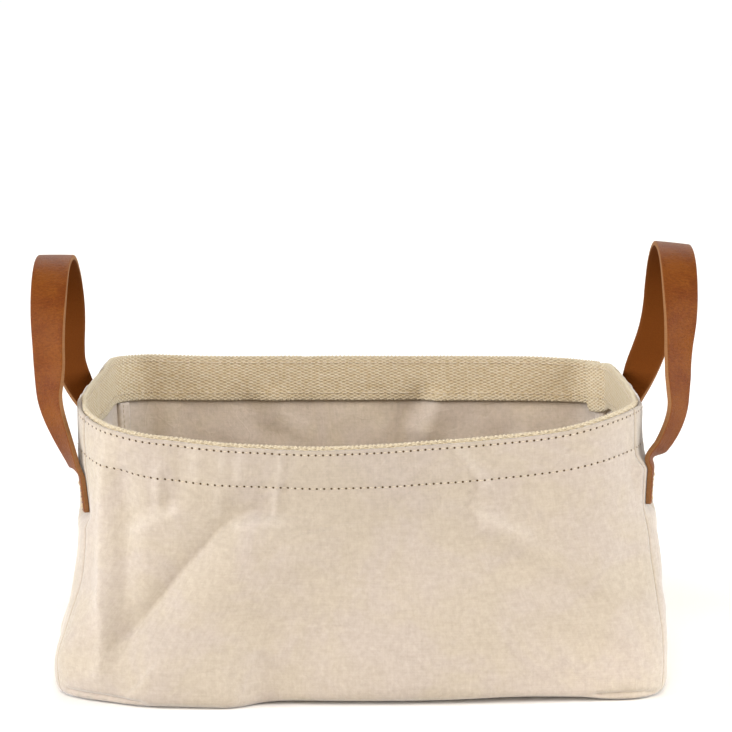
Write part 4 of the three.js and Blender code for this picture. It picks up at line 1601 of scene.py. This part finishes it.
@dataclass
class Handle:
    """One leather strap: two ends sewn to the wall, and the loop between them."""

    skin: Skin
    leather: Material
    thread: Material
    side: int
    seam: float
    seat_drop: float
    rise: float
    lean: float
    roll: float
    front: Leg
    back: Leg
    hold: float  # over this height above a seat, the strap comes off the wall
    sunk: tuple[float, float, float]  # depth, turn and lean of the front end in the cloth
    width: float = 22.0
    thickness: float = 3.0
    seat_height: float = 20.0
    seat_to_seam: float = 3.5
    seat_spacing: float = 136.0
    back_sunk: float = 1.5
    arch: float = 55.0
    bend_gap: float = 0.6
    patch: float = 1.5
    square: float = 14.0
    square_stitches: int = 4  # along each side of the square
    round_edge: float = 0.8  # of the grain side
    sharp_edge: float = 0.4  # of the flesh side
    bend_zone: tuple[float, float] = (-0.003, 0.011)  # metres up from the hinge; the two points made from them are not used

    @property
    def name(self) -> str:
        """The handle's name, with the side that it is on."""
        return "left_handle" if self.side < 0 else "right_handle"

    @property
    def top(self) -> float:
        """Unsunk height of the upper edge of the sewn ends."""
        return HEIGHT - self.seat_drop

    @property
    def stand(self) -> float:
        """How far the middle of the sewn strap stands out of the wall."""
        return CLEARANCE + self.thickness / 2

    @cached_property
    def seats(self) -> tuple[float, float]:
        """Where the sewn ends are.

        Returns:
            Places on the plan of the middles of the front and the back one.
        """
        away = self.side * (self.seat_to_seam + self.width / 2)
        front = float(self.skin.march(np.array(self.seam), np.array(self.top), np.array(away)))
        far = np.array(self.side * self.seat_spacing)
        return front, float(self.skin.march(np.array(front), np.array(self.top), far))

    def pressed_spots(self) -> tuple[Pressed, ...]:
        """The spots of the sewn ends, at their middles."""
        front, back = (tuple(self.skin.point(s, self.top - self.seat_height / 2)) for s in self.seats)
        return Pressed(front, *self.sunk), Pressed(back, self.back_sunk, 0.0)

    def seat_point(self, seat: float) -> Array:
        """The middle of the strap at the upper edge of a sewn end."""
        return self.skin.point(seat, self.top) + self.skin.directions(seat, self.top)[0] * self.stand

    def middle(self, t: Array) -> tuple[Array, Array, Array]:
        """The middle of the loop: two legs that lean and kick out, under a half circle.

        Args:
            t: Share of the loop's length, from its front end to its back end.

        Returns:
            Points, heights above the seats, and the angle reached on the arch.
        """
        front, back = (self.seat_point(s) for s in self.seats)
        tall, arch = self.rise - self.arch, math.pi * self.arch
        run = t * (2 * tall + arch)
        angle = np.clip((run - tall) / self.arch, 0, math.pi)
        arched = (angle > 0) & (angle < math.pi)
        upright = np.where(run < tall, run, 2 * tall + arch - run)
        height = np.where(arched, tall + self.arch * np.sin(angle), upright)
        spread = mix((back[1] - front[1]) / 2, self.arch, smooth(height / tall))
        y = np.where(arched, -self.arch * np.cos(angle), np.sign(run - tall - arch / 2) * spread)
        kicks = [leg.swing(height) for leg in (self.front, self.back)]
        across = mix(front[0], back[0], smooth(t)) + self.side * (mix(*kicks, smooth(t)) + self.lean * height)
        up = mix(front[2], back[2], smooth(t)) + height + self.bend_gap
        points = np.stack([across, (front[1] + back[1]) / 2 + y, up], axis=-1)
        return points, np.maximum(height, 0), angle

    def frames(self, t: Array) -> tuple[Array, Array, Array]:
        """The loop's middle and the directions of its face and across it.

        The face looks out of the wall at each end, turns to look along the handle up the leg, and
        rolls a little over the top.

        Args:
            t: Share of the loop's length, from its front end to its back end.

        Returns:
            Points, and two unit vectors for each.
        """
        points, height, angle = self.middle(t)
        step = 1e-3
        along = unit(self.middle(t + step)[0] - self.middle(t - step)[0])
        first = t < 0.5
        twist = np.where(first, self.front.twist, self.back.twist)
        turned = np.where(first, self.front.turn_height, self.back.turn_height)
        quick = np.where(first, self.front.quick(height), self.back.quick(height))
        slow = smooth((height - turned) / (self.rise - turned))
        turn = np.radians(mix(mix(90.0, twist, quick), self.roll, slow))[:, None]
        walls = [self.skin.directions(s, self.top)[0] for s in self.seats]
        wall = np.where(first[:, None], walls[0], walls[1])
        outward = unit(mix(wall, np.array([self.side, 0.0, 0.0]), quick[:, None]))
        face = np.stack([0 * angle, -np.cos(angle), np.sin(angle)], axis=-1) * np.cos(turn)
        face = face + outward * np.sin(turn)
        face = unit(face - along * np.einsum("ij,ij->i", face, along)[:, None])
        return points, face, np.cross(face, along)

    def section(self) -> tuple[Array, Array, Array, Array]:
        """The strap's section: a crowned grain side, rounded corners, cut edges and a flat flesh side.

        Returns:
            Places across and out of the strap, and marks for cut edges and the flesh side.
        """
        w, h, wide, slim = self.width / 2, self.thickness / 2, self.round_edge, self.sharp_edge
        # Middle and radius of each corner, where its quarter circle starts, and points up to the next.
        corners = (((w - wide, h - wide), wide, 90, 2), ((w - slim, -h + slim), slim, 0, 9),
                   ((-w + slim, -h + slim), slim, -90, 2), ((-w + wide, h - wide), wide, 180, 9))
        arcs = []
        for middle, radius, start, _ in corners:
            turn = np.radians(np.linspace(start, start - 90, 5))
            arcs.append(np.array(middle) + radius * paired(np.cos(turn), np.sin(turn)))
        outline = []
        for arc, following, (_, _, _, count) in zip(arcs, arcs[1:] + arcs[:1], corners):
            outline += [arc, np.linspace(arc[-1], following[0], count + 2)[1:-1]]
        x, y = np.concatenate(outline).T
        grain = y > h - 0.05
        y = y + grain * 0.12 * np.cos(math.pi * x / self.width)
        cut = smooth((np.abs(x) - w + 0.5) / 0.45) * smooth((h - 0.12 - y) / 0.3)
        flesh = smooth((-y - h + 0.35) / 0.3) * (1 - cut)
        return x, y, cut, flesh

    def rings(self, x: Array, y: Array) -> tuple[Array, Array]:
        """The section carried up the wall, round the loop and down again.

        Over the first millimetres above each seat the loop's rings are mixed with rings on the wall.

        Args:
            x: Places across the strap.
            y: Places out of the strap's middle.

        Returns:
            Rings of points, and the length run to each ring, from 0 at the front hinge.
        """
        total = 2 * (self.rise - self.arch) + math.pi * self.arch
        run = np.concatenate([np.linspace(-self.seat_height, 0, 21)[:-1], np.linspace(0, total, 301),
                              np.linspace(total, total + self.seat_height, 21)[1:]])
        points, face, across = self.frames(np.clip(run / total, 0, 1))
        wobble = 0.25 * np.sin(run / 17.0 + self.side) + 0.12 * np.sin(run / 6.3)
        above = np.minimum(run, total - run)
        centre = points + face * (wobble * smooth(above / 30))[:, None]
        rings = centre[:, None] + across[:, None] * x[None, :, None] + face[:, None] * y[None, :, None]
        for seat, end, sense in zip(self.seats, (run < total / 2, run > total / 2), (-1, 1)):
            near = end & (above < self.hold)
            heights = self.top + above[near][:, None] + self.bend_gap * (above[near][:, None] > 0)
            laid = self.skin.level_place(seat, sense * x[None, :], heights, self.stand + y[None, :])
            rings[near] = mix(laid, rings[near], smooth(above[near] / self.hold)[:, None, None])
        return rings, run

    def build_strap(self) -> None:
        """Makes the whole strap."""
        x, y, cut, flesh = self.section()
        rings, run = self.rings(x, y)
        every_ring = np.ones((len(rings), 1))
        marks = {"cut": every_ring * cut, "flesh": every_ring * flesh}
        marks["cut"][[0, -1]] = 1.0  # both ends of the strap are cut across
        strap = tube(rings, paired(run[:, None], x[None, :]), marks)
        piece = make_piece(f"{self.name}_strap", strap, self.leather)
        hinge = [float(part) for part in self.seat_point(self.seats[0]) * METRES]
        low, high = ((hinge[0], hinge[1], hinge[2] + up) for up in self.bend_zone)
        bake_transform(piece)
        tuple(low)
        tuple(high)
        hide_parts(f"{self.name}_loop", f"{self.name}_front_end", f"{self.name}_back_end")
        LOG.info("%s: %.0f mm of strap", piece.name, run[-1] - run[0])

    def build_patch(self, end: str, seat: float) -> None:
        """Makes the leather patch inside the wall behind a sewn end.

        Args:
            end: Front or back.
            seat: Place of the seat on the plan.
        """
        half = self.width / 2
        along, z = floats(np.linspace(-half, half, 15)[None, :],
                          np.linspace(self.top - self.seat_height, self.top, 13)[:, None])
        edge = np.minimum(half - np.abs(along), np.minimum(self.top - z, z - self.top + self.seat_height))
        inner = -CANVAS - CLEARANCE - self.patch + 0.5 * np.square(np.clip(1 - edge / 1.2, 0, 1))
        faces = [self.skin.level_place(seat, along, z, n) for n in (-CANVAS - CLEARANCE, inner)]
        marks = {"cut": (edge < 0.1).astype(float), "flesh": 0 * z}
        surface = shell(faces[0], faces[1], paired(along, z), marks)
        fixed_piece(f"{self.name}_{end}_backing", "patch", surface, self.leather)

    def build_square(self, end: str, seat: float, inside: bool) -> None:
        """Makes the square of stitches on a sewn end, or on the patch behind it.

        Args:
            end: Front or back.
            seat: Place of the seat on the plan.
            inside: True for the square on the patch.
        """
        per_side, half = self.square_stitches, self.square / 2
        pitch = self.square / per_side
        number = np.arange(4 * per_side)[:, None]
        side, step = number // per_side, (number % per_side + 0.5) * pitch - half
        middle = self.top - self.seat_height / 2 - 1.0
        outer = CANVAS + CLEARANCE + self.patch if inside else CLEARANCE + self.thickness

        def place(along: Array, across: Array, up: Array) -> Array:
            """Lays a stitch along its side of the square."""
            a, b = step + along, half - across
            which = np.broadcast_to(side, a.shape)
            x, z = np.choose(which, [a, b, -a, -b]), np.choose(which, [-b, a, b, -a])
            n = outer + THREAD_LIFT + up
            return self.skin.level_place(seat, x, middle + z, -n if inside else n)

        node = f"{self.name}_{end}_{'bobbin' if inside else 'box'}_thread"
        sew(node, Stitch(pitch - STITCH_GAP, 0.42), place, 4 * per_side, self.thread, inside)

    def build(self) -> None:
        """Makes the strap, the two patches and the four squares of stitches."""
        self.build_strap()
        for end, seat in zip(("front", "back"), self.seats):
            self.build_patch(end, seat)
            for inside in (False, True):
                self.build_square(end, seat, inside)


# ---- Studio ----


@dataclass(frozen=True)
class SoftLight:
    """A very wide, even light from one direction, as from a large diffuser."""

    name: str
    turn: float  # degrees from the front, above zero to the left
    height: float  # degrees above the floor
    strength: float
    colour: str
    spread: float

    def build(self) -> None:
        """Makes the light and turns it to the bin."""
        data = bpy.data.lights.new(self.name, "SUN")
        data.energy = self.strength
        data.color = linear(self.colour)[:3]
        data.angle = math.radians(self.spread)
        light = link(self.name, data)
        light.rotation_euler = (math.radians(90 - self.height), 0.0, -math.radians(self.turn))


@dataclass(frozen=True)
class Studio:
    """A white room: floor, even white surroundings, soft lights and the camera."""

    camera_place: tuple[float, float, float] = (0.0029, -1.466, 0.383)
    pitch: float = 7.894  # degrees down
    lens: float = 116.36
    sensor: float = 36.0
    floor_half: float = 30.0  # half the floor's width, in metres
    floor_drop: float = 0.0002  # floor below the bin, in metres
    paper: tuple[str, str] = ("F4F1EC", "F6F4F0")
    horizon: tuple[float, float] = (0.15, 1.02)  # strength round the horizon, in front and behind
    above: float = 0.08  # strength above it
    tints: tuple[str, str] = ("FFF3E6", "FFFFFF")  # of the surroundings, in front and behind
    lights: tuple[SoftLight, ...] = (
        SoftLight("back_light", 180.0, 40.0, 1.4, "FFF9F2", 45.0),
        SoftLight("front_light", 2.0, 35.0, 2.8, "FFF8F2", 45.0),
        SoftLight("left_light", 74.0, 13.0, 4.8, "EFF5FF", 36.0),
        SoftLight("right_light", -80.0, 12.0, 4.6, "EEF5FF", 40.0),
    )

    def build_floor(self) -> None:
        """Makes the floor: a wide white sheet."""
        material, recipe = new_material("white_studio_paper")
        tone = recipe.colour(recipe.add("TexNoise", {"Scale": 3.0}), *self.paper)
        recipe.surface("BsdfDiffuse", {"Color": tone})
        mesh = bpy.data.meshes.new("studio_floor")
        corners = [(x * self.floor_half, y * self.floor_half, -self.floor_drop)
                   for x, y in ((-1, -1), (1, -1), (1, 1), (-1, 1))]
        mesh.from_pydata(corners, [], [(0, 1, 2, 3)])
        mesh.materials.append(material)
        link("studio_floor", mesh)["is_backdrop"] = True

    def build_camera(self) -> None:
        """Makes the camera in front of the bin, looking a little down."""
        data = bpy.data.cameras.new("camera")
        data.lens = self.lens
        data.sensor_width = self.sensor
        camera = link("camera", data)
        camera.location = self.camera_place
        camera.rotation_euler = (math.radians(90 - self.pitch), 0.0, 0.0)
        bpy.context.scene.camera = camera

    def build_surroundings(self) -> None:
        """Makes the white room: bright round the horizon behind the bin, dim in front of it and above."""
        world = bpy.data.worlds.new("white_room")
        world.use_nodes = True
        recipe = Recipe(world.node_tree)
        _, y, z = recipe.parts(recipe.add("TexCoord", {}, "Generated"))
        above, behind = recipe.step(z, 0.05, 0.5), recipe.step(y, -0.85, 0.1)
        level = recipe.level(above, recipe.level(behind, *self.horizon), self.above)
        background = world.node_tree.nodes["Background"]
        world.node_tree.links.new(level, background.inputs["Strength"])
        world.node_tree.links.new(recipe.colour(behind, *self.tints), background.inputs["Color"])
        bpy.context.scene.world = world

    def build(self) -> None:
        """Makes the camera, the floor, the white surroundings and the lights."""
        self.build_camera()
        self.build_floor()
        self.build_surroundings()
        bpy.context.scene.view_settings.view_transform = "Standard"
        for light in self.lights:
            light.build()


def write_sizes() -> None:
    """Puts the CAD box and the visual model's box into plain lists, and does nothing more with them."""
    boxes = {"cad": CAD_BOX, "visual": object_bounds()}
    plain = {name: [list(corner) for corner in box] for name, box in boxes.items()}


def main() -> None:
    """Builds the studio, then the bin: canvas body, rim band and handles."""
    logging.basicConfig(level=logging.INFO, format="%(name)s: %(message)s")
    Studio().build()
    skin = Skin()
    cloth = WashedCanvas().material()
    webbing = CottonWebbing().material()
    leather = TannedLeather().material()
    pale = SewingThread("canvas_cotton_thread", "C3B5A0", "B1A087").material()
    cream = SewingThread("cream_linen_thread", "C5B496", "A48E6B").material()
    handles = (
        Handle(skin, leather, cream, side=-1, seam=FRONT_LEFT + SEAM_SHARE, seat_drop=40.5, rise=122.0,
               lean=0.03, roll=0.0, front=Leg(15.5, 48.8, 28.6, 69.0, 0.32), back=Leg(15.0, 50.0, 45.0, 46.0),
               hold=6.0, sunk=(3.0, 0.14, 0.08)),
        Handle(skin, leather, cream, side=1, seam=RIGHT - SEAM_SHARE, seat_drop=37.0, rise=125.5,
               lean=0.02, roll=6.0, front=Leg(18.7, 39.0, 43.4, 52.3, 0.73), back=Leg(18.5, 88.0, 18.0, 54.0),
               hold=12.0, sunk=(-1.1, 0.19, 0.2)),
    )
    skin.pressed = tuple(spot for handle in handles for spot in handle.pressed_spots())
    for part in (CanvasBody(skin, cloth, pale), RimBand(skin, webbing, pale), *handles):
        part.build()
        LOG.info("built %s", type(part).__name__)
    write_sizes()


if __name__ == "__main__":
    main()
